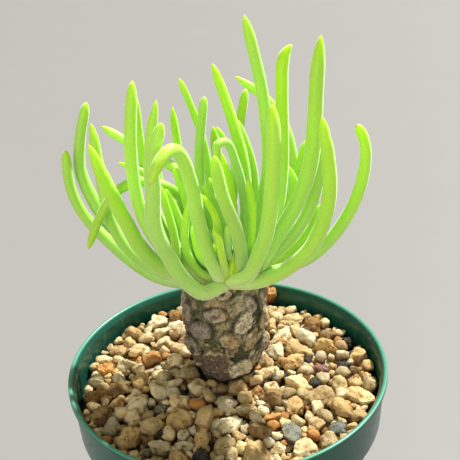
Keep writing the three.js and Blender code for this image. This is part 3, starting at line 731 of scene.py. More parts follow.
class SUCCULENT_OT_gravel(bpy.types.Operator):
    """Lays the bed, and on it the photographed stones, the large grains and the small ones"""

    bl_idname = "succulent.gravel"
    bl_label = "Make gravel"

    def execute(self, context):
        settings = context.scene.succulent.gravel
        material = stone_material()
        solid = [
            (x, y, long * GRAIN_WORN, wide * GRAIN_WORN, turn)
            for x, y, long, wide, turn in thrown([stone[:5] for stone in STONES], *SOLID_THROW)
        ]
        every = thrown(solid, *SMALL_THROW)
        groups = (  # name, grains, faces a side, and how high they lie in parts of their height
            ("gravel_stones", [*solid[:len(STONES)], LEANING_STONE[:5]], 20, 0.35),
            ("gravel_large_grains", solid[len(STONES):], 12, 0.35),
            ("gravel_small_grains", every[len(solid):], 4, 0.9),
            ("gravel_under_grains", thrown([], *UNDER_THROW), 3, -0.5),
        )
        for k, (name, grains, count, rise) in enumerate(groups):
            x, y, long, wide, turns = np.array(grains).T
            x, y, long, wide = x * MM, y * MM, long * MM, wide * MM
            halves = np.stack([long, wide, GRAIN_HEIGHT * (long + wide)], -1)
            z = bed_z(x, y) + halves[:, 2] * rise
            names = drawn_names(len(grains), NAME_SEED + k)
            if k == 0:
                z[-1] = LEANING_STONE_Z
                halves[-1, 2] = LEANING_STONE_HEIGHT
                names = [stone[5] for stone in (*STONES, LEANING_STONE)]
            places = np.stack([x, y, z], -1)
            colours = grain_colours(names, settings, TINT_SEED + k)
            turns = np.radians(turns)
            points, faces, shade = stones(
                places, halves, turns, colours, settings.cavity_shade, count, SHAPE_SEED + k
            )
            points = kept_in_pot(points)
            node = "gravel" if k == 0 else None
            new_piece(name, points, faces, material, "gravel", node, stone_colour=shade)
        self.make_bed(settings, material)
        return {"FINISHED"}

    def make_bed(self, settings, material):
        """The mix below the grains, dark as painted shade: the inside of the pot's outline, turned, with
        a noisy top.
        """
        floor = FOOT_RISE + FLOOR + BED_GAP
        pot = bpy.context.scene.succulent.pot
        side = np.linspace(floor, BED_EDGE_Z - BED_SUNK, BED_SIDE_ROWS)
        wall = np.stack([pot_radius(side, pot) - pot.wall - BED_GAP, side], -1)
        inwards = np.linspace(wall[-1, 0], AXIS_GAP, BED_TOP_ROWS)
        top = np.stack([inwards, np.full(BED_TOP_ROWS, side[-1])], -1)
        rows = turned(np.concatenate([[[AXIS_GAP, floor]], wall, top]), BED_SIDES)
        upper = rows[1 + BED_SIDE_ROWS:]
        upper[..., 2] = bed_z(upper[..., 0], upper[..., 1]) - BED_SUNK
        upper[..., 2] += 0.9 * MM * layered(upper, 2.4 * MM, 11)
        points, faces = skin(rows, (0, 0, floor), (0, 0, upper[-1, :, 2].mean()))
        # Painted shade: the bed takes 0.3 of the brown grains' colour, for the shade in the gaps.
        shade = np.tile(np.array(settings.brown) * 0.3, (len(points), 1))
        new_piece("gravel_bed", points, faces, material, "gravel", stone_colour=shade)


# Caudex


class CaudexSettings(bpy.types.PropertyGroup):
    relief: length_setting("Relief", "Height of the bark's folds", 0.55)
    green: colour_setting("Green bark", "Between the scars", 92, 98, 64)
    tan: colour_setting("Tan bark", "Folds that dried", 196, 174, 126)
    grey: colour_setting("Scar", "Corky faces of the scars", 190, 178, 154)
    mauve: colour_setting("Dull scar", "The brown-grey scars", 158, 144, 126)
    speckled: colour_setting("Pale scar", "The palest scars", 232, 220, 184)
    # umber: the plate's and flakes' own old bark, and also the painted shade low on the trunk and on its
    # upper left.
    umber: colour_setting("Umber", "Old bark near the foot", 112, 94, 78)
    rust: colour_setting("Rust", "Torn edges and scar centres", 206, 152, 92)
    # furrow: painted shade in the fold bottoms, the creases round the scars and their sunk centres.
    furrow: colour_setting("Furrow", "Bottoms of the folds", 46, 44, 30)


TRUNK_ROWS = 236
TRUNK_COLUMNS = 300
BURIED_Z = 76 * MM  # an eighth of the rows lie below this, in the gravel
SCAR_SWELL = 1.12  # a scar's mound reaches past the solid's by this
SCAR_RISE = 1.7

# The scars that show in front, where the solid has them: turn in degrees from the front towards
# the right, height, half width, half height, lean of the long way in degrees, how far they
# stand out, how deep their centre is sunk, their colour, and how rusty they are, 0 to 1.
SCARS = (
    (2.4, 117.9, 2.3, 1.9, 0, 0.9, 1.5, "speckled", 0.9),
    (-11.7, 111, 3.2, 2.1, 6, 1.0, 0.8, "grey", 0.7),
    (-33, 105.1, 3.6, 2.9, 0, 1.2, 0.2, "mauve", 0.0),
    (7.3, 102.3, 3.2, 2.6, -6, 1.2, 0.35, "tan", 0.8),
    (25.8, 107.2, 3.8, 2.3, 50, 1.1, 0.4, "speckled", 0.15),
    (42, 112.4, 1.9, 2.9, 10, 0.9, 0.4, "grey", 0.1),
    (67.1, 103.8, 2.7, 2.9, 0, 1.0, 0.5, "tan", 0.3),
    (38, 100.4, 4.2, 1.8, 54, 0.7, 0.15, "tan", 0.15),
    (21.5, 89.9, 3.8, 2.9, 12, 1.0, 0.3, "speckled", 0.1),
    (-63.3, 109, 2.3, 3.2, 0, 1.0, 0.2, "mauve", 0.0),
    (-48.8, 98.5, 2.8, 1.4, -24, 0.9, 0.1, "mauve", 0.2),
    (78, 111, 2.2, 2.8, 0, 0.9, 0.4, "grey", 0.1),
    (-67, 97, 2.0, 3.3, -24, 0.9, 0.1, "mauve", 0.1),
    (-86, 112, 2.6, 3.4, 0, 0.9, 0.3, "grey", 0.0),
    (-4, 86.5, 3.2, 2.4, 0, 0.8, 0.2, "umber", 0.1),
    (72, 94.5, 2.8, 3.4, 20, 1.0, 0.3, "mauve", 0.1),
)
REAR_SCARS = {
    "seed": 7, "rows": 6, "lowest": 88, "row": 6.2, "from": 100, "to": 262, "step": 36,
}

# The plate of old umber bark low in front: turn, height, half width and half height, then
# flakes along its torn edge and below the scar over it: turn, height, lean, length, width.
PLATE = (-18.7, 93, 4.9, 4.9)
FLAKES = (
    (-31, 98.4, 60, 2.4, 1.8), (-24, 98.9, 100, 1.8, 2.2), (-16, 98.2, 80, 2.2, 2.0),
    (-9, 97.6, 50, 1.7, 1.6), (-4, 96.4, 20, 2.4, 1.7), (-1, 94.4, 5, 2.2, 2.0),
    (-1.5, 91.8, -20, 1.8, 1.6), (3, 99.2, 250, 1.6, 2.2), (8, 98.6, 270, 2.1, 2.4),
    (13, 99, 290, 1.5, 2.0), (-37, 95.5, 170, 1.9, 1.9), (-38, 91.5, 190, 1.6, 1.6),
    (-20, 93.5, 75, 2.4, 2.2), (-12, 90.5, 95, 2.0, 2.0),
)
FLAKE_ROWS = 9
FLAKE_COLUMNS = 7
FLAKE_HALF = 0.09 * MM  # thickness

# Moss between the scars: turn, height, and how far it reaches in degrees and millimetres.
MOSS = ((8, 96.2, 11, 3.4), (57, 109, 9, 6))


def rear_scars():
    """The scars round the back, at the solid's seeded places."""
    draw = drawn(REAR_SCARS["seed"])
    found = []
    for row in range(REAR_SCARS["rows"]):
        first = REAR_SCARS["from"] + REAR_SCARS["step"] / 2 * (row % 2)
        for turn in np.arange(first, REAR_SCARS["to"], REAR_SCARS["step"]):
            z = REAR_SCARS["lowest"] + REAR_SCARS["row"] * row + 2 * (next(draw) - 0.5)
            degrees = turn + 8 * (next(draw) - 0.5)
            size = 2.8 + 1.2 * next(draw)
            height = 0.8 + 0.5 * next(draw)
            lean = 50 * np.sin(turn + row)
            pit = 0.35 + 0.35 * np.cos(3 * turn + row)
            tone = ("mauve", "grey", "tan", "speckled")[(row + int(turn)) % 4]
            found.append((degrees, z, size, 0.86 * size, lean, height, pit, tone, 0.4 * (pit > 0.5)))
    return found


def caudex_outline():
    """The trunk's mean cut as the frame's solid has it: for each row of its points the mean
    radius about the axis and the height, up to the top."""
    points = node_points("caudex")[0]
    far = np.hypot(points[:, 0] - TRUNK_X, points[:, 1] - TRUNK_Y)
    heights, row, count = np.unique(np.round(points[:, 2], 5), return_inverse=True, return_counts=True)
    means = np.bincount(row.reshape(-1), far) / count
    whole = count > 8
    outline = np.stack([means[whole], heights[whole]], -1)
    return np.concatenate([outline, [[0, points[:, 2].max()]]])


def caudex_rows():
    """Points and outward directions on a grid: the mean cut's smooth curve turned about the
    trunk's axis, with most rows above the gravel. With them goes what apart() needs: the
    columns' turns, the rows' distances up the trunk and their points on the cut, and for the
    cut itself the same distances and points."""
    outline = caudex_outline()
    up = reached(outline)
    buried = np.interp(BURIED_Z, outline[:, 1], up)
    low = np.linspace(0, buried, TRUNK_ROWS // 8, endpoint=False)
    at = np.concatenate([low, np.linspace(buried, up[-1] - 0.3 * MM, TRUNK_ROWS - len(low))])
    cut = through(at, up, outline)
    slope = unit(np.gradient(cut, at, axis=0))
    turn = even_angles(TRUNK_COLUMNS)
    ahead = np.stack([np.sin(turn), -np.cos(turn), 0 * turn], -1)
    axis = np.array([0, 0, 1.0])
    points = cut[:, None, :1] * ahead + cut[:, None, 1:] * axis + [TRUNK_X, TRUNK_Y, 0]
    out = slope[:, None, 1:] * ahead - slope[:, None, :1] * axis
    return points, out, (turn, at, cut, up, outline)


def apart(grid, degrees, z):
    """How far each point lies from a place on the trunk, in metres across and along."""
    turn, at, cut, up, outline = grid
    across = turn - np.radians(degrees)
    across = np.arctan2(np.sin(across), np.cos(across)) * cut[:, :1]
    return across, (at - np.interp(z * MM, outline[:, 1], up))[:, None] + 0 * across


def scar_field(points, grid, settings):
    """For each point: the height that the scars add, the colour and the share of their corky
    faces, how much of it is rust, how much is furrow colour as painted shade in the creases and
    sunk centres, and the distance to the nearest. With d the distance from a scar's middle in
    parts of its size, its outline wavering by noise, a scar adds a flat mound exp(-d^6), a rim
    exp(-((d - 0.8) / 0.15)^2), a sunk centre exp(-(d / 0.3)^2), fine rings cos(22 d), and a
    furrow exp(-((d - 1.13) / 0.14)^2) around it that comes and goes by noise."""
    height = np.zeros(points.shape[:2])
    face, rust, furrow = (np.zeros_like(height) for _ in range(3))
    tone = np.tile(np.array(settings.tan), (*height.shape, 1))
    nearest = np.full_like(height, 9.0)
    waver = [layered(points, 3 * MM, seed, 4) * 0.5 * MM for seed in (21, 25)]
    comes = smooth_step(-0.3, 0.5, noise(points, 2.4 * MM, 27))
    for degrees, z, wide, high, lean, out, pit, name, rusty in (*SCARS, *rear_scars()):
        across, along = np.add(apart(grid, degrees, z), waver)
        wide, high, out = SCAR_SWELL * wide, SCAR_SWELL * high, SCAR_RISE * out
        c, s = np.cos(np.radians(lean)), np.sin(np.radians(lean))
        d = np.hypot((c * across + s * along) / wide, (c * along - s * across) / high) / MM
        mound = np.exp(-np.minimum(d, 3) ** 6)
        rim = np.exp(-(((d - 0.8) / 0.15) ** 2))
        sunk = np.exp(-((d / 0.3) ** 2))
        rings = np.cos(22 * d) * mound
        crease = np.exp(-(((d - 1.13) / 0.14) ** 2)) * comes
        shape = out * mound + 0.35 * rim * comes - (0.25 + pit) * sunk + 0.06 * rings - 0.6 * crease
        height += shape * MM
        own = smooth_step(1.02, 0.86, d)
        tone = blended(tone, getattr(settings, name), own)
        face = np.maximum(face, own * (1 - 0.7 * sunk * min(1, pit + 0.2)))
        side = smooth_step(-0.3, 0.8, across / (wide * MM))
        rust = np.maximum(rust, rusty * np.maximum(rim * side, sunk * min(1, 0.4 + pit)) * own)
        # Painted shade: the share of the furrow colour in the crease round a scar and in its sunk centre.
        furrow = np.maximum(furrow, np.maximum(0.7 * crease, sunk * min(1, 0.7 * pit)))
        nearest = np.minimum(nearest, d)
    return height, tone, face, rust, furrow, nearest


def folds(points, along, size, long, seed):
    """Ridges below 1 that run along a direction in space: one less 2.4 times the distance from
    0 of noise, and half as much noise of half the size, whose cells are size wide and long
    long, in a frame laid along it and shifted by a little noise."""
    along = unit(np.array(along))
    across = unit(np.cross(along, (0, 1, 0)))
    basis = np.stack([along / long, across / size, np.cross(along, across) / (2 * size)], -1)
    place = points @ basis
    place = place + 0.35 * noise(place, 0.8, seed + 9)[..., None]
    return 1 - 2.4 * np.abs(noise(place, 1, seed) + 0.5 * noise(place, 0.5, seed + 1))


def bark_material():
    """Bark: the colour laid on the mesh, with its painted shade and highlights, broken up by fine
    flakes, cracks and pale and dark specks, and rough."""
    material, tree, place = new_material("bark", 0.86, 0.25)
    own = attribute(tree, "bark_colour")
    flakes = cloud(tree, place, 0.9 * MM, 6, 0.72)
    darker = tinted(tree, own, 164, 150, 130)
    colour = mixed(tree, spread(tree, flakes, 0.38, 0.54), darker, own)
    specks = cloud(tree, place, 0.3 * MM, 3, 0.6)
    for low, high, speck in ((0.56, 0.7, (226, 214, 190)), (0.4, 0.3, (58, 48, 40))):
        part = spread(tree, specks, low, high, 0.0, 0.5)
        colour = mixed(tree, part, colour, linear(*speck))
    height = sums(tree, "ADD", flakes, sums(tree, "MULTIPLY", specks, 0.5))
    rough = spread(tree, flakes, 0.3, 0.7, 0.74, 0.94)
    return finish_material(material, colour, rough, height, 0.4 * MM)


def flake(middle, out, lean, long, wide, curl):
    """A curled flake of bark as rows of points: from its root on the trunk it runs its length
    the way it leans, narrows as 1 - 0.6 u^2, and lifts off by curl u^2, u its part. Each row
    goes up its outer face and back down its inner one."""
    up = unit(np.array([0, 0, 1.0]) - out * out[2])
    right = np.cross(up, out)
    ahead = np.cos(lean) * right + np.sin(lean) * up
    aside = np.cross(out, ahead)
    u = np.linspace(0, 1, FLAKE_ROWS)[:, None, None]
    v = np.linspace(-1, 1, FLAKE_COLUMNS)
    v = np.concatenate([v, v[::-1]])[:, None]
    face = np.repeat([FLAKE_HALF, -FLAKE_HALF], FLAKE_COLUMNS)[:, None]
    torn = 1 + 0.3 * np.sin(5 * v + 40 * lean) * u
    rows = middle + ahead * (long * u * torn) + aside * (wide / 2 * v * (1 - 0.6 * u**2))
    return rows + out * (curl * u**2 - 0.35 * MM * (1 - u) + 0.3 * MM * (1 - v**2) + face)


class SUCCULENT_OT_caudex(bpy.types.Operator):
    """Shapes the trunk with its leaf scars, folds and peeling bark"""

    bl_idname = "succulent.caudex"
    bl_label = "Make caudex"

    def execute(self, context):
        settings = context.scene.succulent.caudex
        points, out, grid = caudex_rows()
        turn, *_, outline = grid
        height, tone, face, rust, furrow, nearest = scar_field(points, grid, settings)
        degrees = np.degrees(np.arctan2(np.sin(turn), np.cos(turn)))[None] + 0 * height
        z = points[..., 2] / MM

        # Folds between the scars, slanted, but upright on the upper left.
        slanted = folds(points, (0.82, 0, 0.57), 2.0 * MM, 6 * MM, 31)
        upright = folds(points, (0.1, 0, 1), 1.7 * MM, 9 * MM, 41)
        left = smooth_step(-38, -60, degrees) * smooth_step(92, 100, z)
        fold = slanted + (upright - slanted) * left
        rough = layered(points, 2.0 * MM, 51, 4)
        fine = layered(points, 0.8 * MM, 55, 2)
        between = 1 - 0.75 * smooth_step(1.25, 0.95, nearest)
        height += settings.relief * (0.6 * fold * between + 0.4 * rough + 0.15 * fine)

        # The plate, ragged all round and torn at its upper right edge, and the smooth crown.
        *middle, wide, high = PLATE
        across, along = apart(grid, *middle)
        plate = np.hypot(across / wide, along / high) / MM
        plate = 1 - plate + 0.28 * layered(points, 2.6 * MM, 61, 4)
        upper = smooth_step(-0.1, 0.35, (0.8 * along + across) / high / MM)
        ragged = smooth_step(0.0, 0.05, plate)
        torn = ragged * smooth_step(0.2, 0.06, plate) * upper
        height = height * (1 - 0.5 * ragged) + MM * ragged * (0.95 + 0.3 * rough)
        crown = smooth_step(118.5, 121.5, z + 1.2 * noise(points, 3 * MM, 71))
        height *= 1 - 0.7 * crown

        # The shape, a little slimmer on the left above the gravel.
        shaped = points + out * height[..., None]
        slim = 1 - 0.045 * np.maximum(0, -np.sin(turn))[None, :, None] * smooth_step(84, 90, z)[..., None]
        centre = np.array([TRUNK_X, TRUNK_Y])
        shaped[..., :2] = centre + (shaped[..., :2] - centre) * slim

        # The colours, each laid over the ones before it by its part at each point.
        # The tan of dried folds, leaned higher up and towards the right side: the lean to the right is
        # painted light.
        dry_and_lit_bias = 0.035 * (z - 104) + 0.35 * np.sin(turn - np.radians(15))
        dry = smooth_step(-0.3, 0.7, layered(points, 5 * MM, 81) + 0.5 * fold + dry_and_lit_bias)
        right = smooth_step(8, 34, degrees) * smooth_step(150, 110, degrees)
        # Painted highlight: the fold crests on the right side, where the key light falls, take the pale
        # scar colour.
        lit_crest = smooth_step(0.0, 0.7, fold + 0.5 * rough)
        # Painted shade: umber low on the trunk, less on the lit right side, and on the upper left.
        low = smooth_step(98, 84, z + 3 * rough) * (1 - 0.7 * right)
        shade = np.clip(0.85 * np.maximum(low, left) * (0.8 + 0.5 * rough), 0, 1)
        moss = np.max([
            smooth_step(1.3, 0.7, np.hypot((degrees - side) / wide, (z - level) / high))
            for side, level, wide, high in MOSS
        ], axis=0)
        # Painted shade: the furrow colour in the fold bottoms, the creases round the scars and their sunk
        # centres.
        deep = np.clip(furrow + 0.5 * smooth_step(-0.3, -1.4, fold) * between * (1 - ragged), 0, 1)
        # Painted shade: a dark ring of the furrow colour just outside each scar.
        around = smooth_step(1.4, 1.06, nearest) * smooth_step(0.9, 1.0, nearest) * (1 - ragged)
        fine, grain = fine[..., None], rough[..., None]
        colour = np.array(settings.green)
        for paint, part in (
            (settings.tan, 0.85 * dry),
            (settings.speckled, 0.75 * lit_crest * right),
            (settings.umber, shade),
            (np.array(settings.green) * 0.62, moss),
            (tone * (1 + 0.28 * fine + 0.2 * grain), np.clip(face * (0.95 + 0.2 * rough), 0, 1)),
            (np.array(settings.umber) * (1 + 0.5 * fine), ragged),
            (settings.rust, np.clip(rust, 0, 0.9)),
            (np.array(settings.tan) * 1.35, torn),
            (settings.furrow, 0.85 * deep),
            (settings.furrow, 0.5 * around),
            (context.scene.succulent.leaf.tip, 0.8 * crown),
        ):
            colour = blended(colour, paint, part)

        foot, top = points[0, 0, 2], outline[-1, 1]
        skinned, faces = skin(shaped, (TRUNK_X, TRUNK_Y, foot), (TRUNK_X, TRUNK_Y, top))
        colour = np.concatenate([colour.reshape(-1, 3), colour[0, :1], colour[-1, :1]])
        colour = np.clip(colour, 0, 1)
        material = bark_material()
        new_piece("caudex_bark", skinned, faces, material, "caudex", "caudex", bark_colour=colour)
        self.make_flakes(settings, material, shaped, out, grid)
        return {"FINISHED"}

    def make_flakes(self, settings, material, shaped, out, grid):
        """The flakes, each rooted at the shaped point of the trunk nearest to its place, umber
        there and paler towards its free end. Their rows run clockwise, so their faces are
        turned round."""
        part = np.linspace(0, 1, FLAKE_ROWS).repeat(2 * FLAKE_COLUMNS)
        part = np.concatenate([part, [0, 1]]) ** 1.5
        colour = blended(settings.umber, np.array(settings.tan) * 1.3, part)
        for k, (degrees, z, lean, long, wide) in enumerate(FLAKES):
            across, along = apart(grid, degrees, z)
            root = np.unravel_index(np.argmin(np.hypot(across, along)), across.shape)
            curl = (0.5 + 0.25 * (k % 3)) * MM
            rows = flake(shaped[root], out[root], np.radians(lean), long * MM, wide * MM, curl)
            points, faces = skin(rows, rows[0].mean(0), rows[-1].mean(0))
            faces = [face[:, ::-1] for face in faces]
            new_piece(f"bark_flake_{k + 1}", points, faces, material, "caudex", bark_colour=colour)


# Leaves


class LeafSettings(bpy.types.PropertyGroup):
    rows: IntProperty(name="Rows", description="Rings along a leaf", default=72, min=12)
    sides: IntProperty(name="Sides", description="Faces round a leaf", default=22, min=8)
    base: colour_setting("Base", "Near the crown", 226, 246, 176)
    middle: colour_setting("Middle", "Along the leaf", 184, 224, 102)
    tip: colour_setting("Tip", "Young green", 198, 246, 40)
    dull: colour_setting("Bloom", "Bluish bloom of older leaves", 172, 212, 136)
    point: colour_setting("Point", "The dry point at the very tip", 190, 160, 90)


CROWN = np.array([TRUNK_X, TRUNK_Y, 111 * MM])
HEART = CROWN + [0, 0, 4 * MM]  # where the leaves' lines come from, inside the crown

# How the leaves that show look, side by side in the order of their numbers: over how many of
# its radii a leaf's end closes, how lime and how dull it is, 0 to 1, and how light. Short ends
# are blunt and long ones pointed.
LEAF_LOOKS = {
    "left": (
        (2.2, 0.25, 0.35, 0.97), (2.0, 0.2, 0.45, 1.0), (3.5, 0.5, 0.4, 0.94),
        (4.0, 0.8, 0.15, 0.98), (3.5, 0.6, 0.2, 0.9), (2.9, 0.45, 0.1, 1.05),
        (4.0, 0.6, 0.2, 0.95), (3.0, 0.3, 0.3, 1.1), (3.5, 0.2, 0.5, 0.95),
    ),
    "front": (
        (2.0, 0.12, 0.3, 1.08), (3.5, 0.45, 0.1, 1.03), (2.4, 0.45, 0.45, 0.95),
        (2.8, 0.55, 0.05, 1.05), (3.4, 0.7, 0.0, 1.0), (3.0, 0.1, 0.8, 1.0),
        # The last look here, front_9, has full bloom and 1.3 light: its pale blue-white is partly bloom
        # and partly a painted sheen.
        (4.0, 1.0, 0.0, 0.98), (4.5, 1.0, 0.0, 1.02), (3.0, 0.0, 1.0, 1.3),
        (3.0, 0.9, 0.0, 0.95), (4.0, 0.85, 0.1, 0.98),
    ),
    "middle": (
        (4.0, 0.4, 0.3, 1.0), (4.0, 0.85, 0.0, 0.86), (2.0, 0.35, 0.35, 1.0),
        (3.0, 0.5, 0.15, 0.98), (2.2, 0.15, 0.5, 0.98), (3.2, 0.95, 0.3, 0.96),
        (2.4, 0.75, 0.0, 0.9), (2.5, 0.2, 0.5, 0.94), (3.0, 0.2, 0.5, 0.94),
        (2.2, 0.0, 0.9, 0.94), (4.0, 1.0, 0.0, 0.98), (2.5, 0.1, 0.6, 0.88),
        (3.0, 0.9, 0.0, 0.92), (4.0, 0.7, 0.1, 0.88), (3.0, 0.3, 0.4, 0.98),
        (3.3, 0.3, 0.3, 1.02), (3.2, 1.0, 0.15, 1.0),
    ),
    "right": (
        (4.0, 0.4, 0.2, 1.0), (3.8, 0.6, 0.35, 0.96), (1.8, 0.7, 0.45, 1.03),
        (3.0, 0.2, 0.4, 0.92), (3.0, 0.6, 0.0, 0.88),
    ),
    "rear": (),
}
OTHER_LOOKS = ((2.2, 0.2, 0.1, 0.88), (4.5, 0.7, 0.5, 1.02))  # the least and the most
LOOK_SEED = 5
LEAF_SEED = 100
SHOOT_SEED = 400
SEEDS_EACH = 3

# How wide some leaves are where their end begins to close, in parts of their greatest
# width. The others have EVEN_END.
LEAF_ENDS = {
    "front_1": 0.7, "left_1": 0.76, "left_2": 0.74, "middle_6": 0.72, "middle_16": 0.8,
    "middle_17": 1.0, "front_5": 0.76,
}
EVEN_END = 0.82
BEND_EASE = 7 * MM
POINT_LENGTH = 0.25 * MM
POINT_RADIUS = 0.14 * MM

# How the lines of some front leaves come out of the crown: how many of the solid's own points
# are left out there, and the points in their place, in millimetres.
LEAF_ROOTS = {
    "front_1": (3, ((-0.3, 4, 116), (0.8, -3.5, 120.2), (-1.9, -7.6, 121.3))),
    "front_4": (3, ((0, 3, 117), (1.3, -3.8, 121.3), (4.0, -7, 123.4))),
    "front_5": (3, ((-0.5, 2, 117), (1.8, -4.0, 120.9), (7.8, -5.8, 121.3))),
    "front_8": (6, ((0, 3, 117), (0.2, -3, 121.5), (0.8, -5.8, 124.6), (0.9, -9.3, 129.4),
                    (0.4, -12.4, 134.6), (-0.2, -14.6, 139.8))),
}

# The hooked leaf: how many of its points are kept, and how its line goes on past them.
HOOK_LEAF = "front_2"
HOOK_KEEPS = 6
HOOK = (
    (-7.8, -19.8, 166.3), (-8.8, -22.2, 171.3), (-10.4, -24.6, 174.4), (-12.3, -27.0, 174.7),
    (-14.0, -29.0, 173.3), (-15.4, -30.6, 171.3), (-16.5, -31.8, 169.0), (-17.0, -32.3, 168.1),
)

# The crown's youngest shoots, which close the gap between the front leaves' bases: radius, how
# lime, and the points of the line in millimetres.
SHOOTS = (
    (1.5, 2.2, ((0.6, -1, 119), (1.4, -4.6, 122.2), (3.0, -6.5, 128), (3.8, -7.5, 133.2))),
    (1.2, 1.6, ((1, -1, 119), (2.4, -4.4, 121.9), (4.6, -6, 126.2), (6.2, -7, 130.8))),
    (0.8, 2.0, ((-0.3, -1, 119), (-0.3, -4.8, 122.2), (-1.4, -6.5, 129), (-1.9, -8, 137))),
    (1.3, 2.0, ((0.4, -2, 119.5), (0.9, -4.8, 121.3), (1.6, -6.4, 124.6), (1.6, -7.2, 127))),
)
SHOOT_CLOSE = 5
SHOOT_LIGHT = 1.1

# Small old nicks on a leaf's right edge: the part of its length, and the depth in its radii.
NICKS = {"left_4": (0.87, 0.22), "front_5": (0.93, 0.2), "left_1": (0.7, 0.07)}


def node_edges(node, merged):
    """A node's edges as pairs of its merged points."""
    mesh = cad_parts[node].data
    edges = np.empty(len(mesh.edges) * 2, np.int32)
    mesh.edges.foreach_get("vertices", edges)
    edges = np.sort(merged[edges].reshape(-1, 2), axis=1)
    return np.unique(edges[edges[:, 0] != edges[:, 1]], axis=0)


def leaf_line(node):
    """A leaf's middle line from inside the crown to the tip, and its greatest radius, both
    read from the frame's solid. The tip is the point whose neighbours all have five of their
    own. The points one, two, three... edges from it are the solid's rings, as long as each
    has the same count, and the rest are where the crown cuts it. From there the line goes
    on towards the crown's heart."""
    points, merged = node_points(node)
    edges = node_edges(node, merged)
    valence = np.bincount(edges.ravel(), minlength=len(points))
    odd = np.zeros(len(points))
    np.add.at(odd, edges, valence[edges[:, ::-1]] != 5)
    likely = np.flatnonzero((odd == 0) & (valence > 5))
    tip = likely[np.argmax(np.linalg.norm(points[likely] - CROWN, axis=1))]
    seen = np.zeros(len(points), bool)
    seen[tip] = True
    ring = np.array([tip])
    rings = []
    while True:
        near = np.isin(edges, ring)
        ring = np.setdiff1d(edges[near[:, ::-1]], np.flatnonzero(seen))
        if len(ring) != valence[tip]:
            break
        seen[ring] = True
        rings.append(ring)
    middles = np.array([points[ring].mean(0) for ring in rings])
    radii = [np.linalg.norm(points[r] - m, axis=1).mean() for r, m in zip(rings, middles)]
    inflated = np.sqrt(1 / np.cos(np.pi / valence[tip]))
    line = [points[tip], *middles]
    rest = points[~seen]
    if len(rest):
        root = rest.mean(0)
        if np.linalg.norm(root - line[-1]) > 1.2 * MM:
            line.append(root)
        line.append(root + 0.8 * (HEART - root))
    return np.array(line[::-1]), max(radii) / inflated


def leaf_size(far, length, radius, close, end):
    """How wide a leaf is at distances along it: nearly even from the base to the middle,
    then slowly narrower up to its end part, and over its last close radii shut as
    (1 - x^p)^q, with x the part of them, p 2 and q a half on a blunt leaf, and p 1.6 and
    q 0.65 on a pointed one."""
    knots = np.array([0, 0.08, 0.25, 0.5, 0.7, 0.85, 1])
    widths = np.array([0.98, 0.96, 1, 1, 0.78 + 0.22 * end, 0.39 + 0.61 * end, end])
    x = 1 - np.clip((length - far) / (close * radius), 0, 1)
    pointed = np.clip((close - 2) / 2.5, 0, 1)
    shut = (1 - x ** (2 - 0.4 * pointed)) ** (0.5 + 0.15 * pointed)
    return radius * through(far / length, knots, widths) * shut


def leaf_surface(line, radius, settings, close, end, nick, seed):
    """A leaf's skin: a slightly flattened round section carried along its middle line. At each
    place the section's two directions are the normal of the plane in which the line bows,
    squared up with the line, and their cross product, and near the crown the section is wider
    and flatter. The radius wavers by noise, a nick sinks it by a Gauss bell on the right side,
    and a dry point stands on the tip. With it goes each point's part of the length."""
    u = np.linspace(0, 1, settings.rows)
    part = 1 - (1 - u) ** 1.5
    part[-1] = 1 - 1e-4
    middle = smooth_line(line, part, BEND_EASE)
    along = unit(np.gradient(middle, part, axis=0))
    normal = np.linalg.svd(middle - middle.mean(0))[2][-1]
    side = unit(normal - (along @ normal)[:, None] * along)
    other = np.cross(along, side)
    length = reached(middle)[-1]
    size = leaf_size(part * length, length, radius, close, end)
    size = np.maximum(size, POINT_RADIUS * smooth_step(0.985, 1, part))
    base = (1 - smooth_step(0.02, 0.22, part))[:, None, None]
    angle = even_angles(settings.sides)[:, None]
    section = side[:, None] * np.cos(angle) * (1 + 0.16 * base)
    section = section + other[:, None] * np.sin(angle) * (0.94 - 0.14 * base)
    points = middle[:, None] + section * size[:, None, None]
    waver = 1 + 0.03 * noise(points, 7 * MM, seed) + 0.018 * noise(points, 2.2 * MM, seed + 1)
    if nick:
        bell = np.exp(-(((part - nick[0]) / 0.012) ** 2))[:, None]
        waver = waver - nick[1] * bell * smooth_step(0.55, 1, section[..., 0])
    points = middle[:, None] + section * (size[:, None] * waver)[..., None]
    skinned, faces = skin(points, middle[0], middle[-1] + along[-1] * POINT_LENGTH)
    return skinned, faces, np.concatenate([np.repeat(part, settings.sides), [0, 1.01]])


def leaf_colours(points, part, lime, dull, light, settings, seed):
    """A leaf's colour at each point: pale at the base, green along it and lime towards its
    end, with the bloom in patches on its older half, and dry at the very tip."""
    patch = 0.8 + 0.35 * layered(points, 6 * MM, seed)
    colour = blended(settings.base, settings.middle, smooth_step(0.02, 0.4, part))
    colour = blended(colour, settings.dull, np.clip(dull * patch * smooth_step(1.05, 0.45, part), 0, 1))
    green = lime * (0.25 + 0.75 * smooth_step(0.3, 0.9, part)) + 0.4 * smooth_step(0.88, 1, part)
    colour = blended(colour, settings.tip, np.clip(green, 0, 1)) * light
    return blended(colour, settings.point, smooth_step(0.992, 1.0, part))


def leaf_material():
    """Fleshy leaf: the colour laid on the mesh with faint mottling, light scattered under the
    skin, and a satin sheen that pales its edges."""
    material, tree, place = new_material(
        "leaf_flesh", 0.42, 0.4,
        Subsurface_Weight=0.8, Subsurface_Radius=(0.7, 1.0, 0.25), Subsurface_Scale=3.5 * MM,
        Sheen_Weight=0.9, Sheen_Roughness=0.42, Sheen_Tint=(0.93, 1, 0.8, 1),
    )
    own = attribute(tree, "leaf_colour")
    fine = cloud(tree, place, 0.5 * MM, 3, 0.6)
    paler = tinted(tree, own, 236, 242, 222)
    colour = mixed(tree, spread(tree, fine, 0.3, 0.7), paler, own)
    rough = spread(tree, cloud(tree, place, 5 * MM, 3), 0.3, 0.7, 0.36, 0.5)
    return finish_material(material, colour, rough, fine, 0.03 * MM)


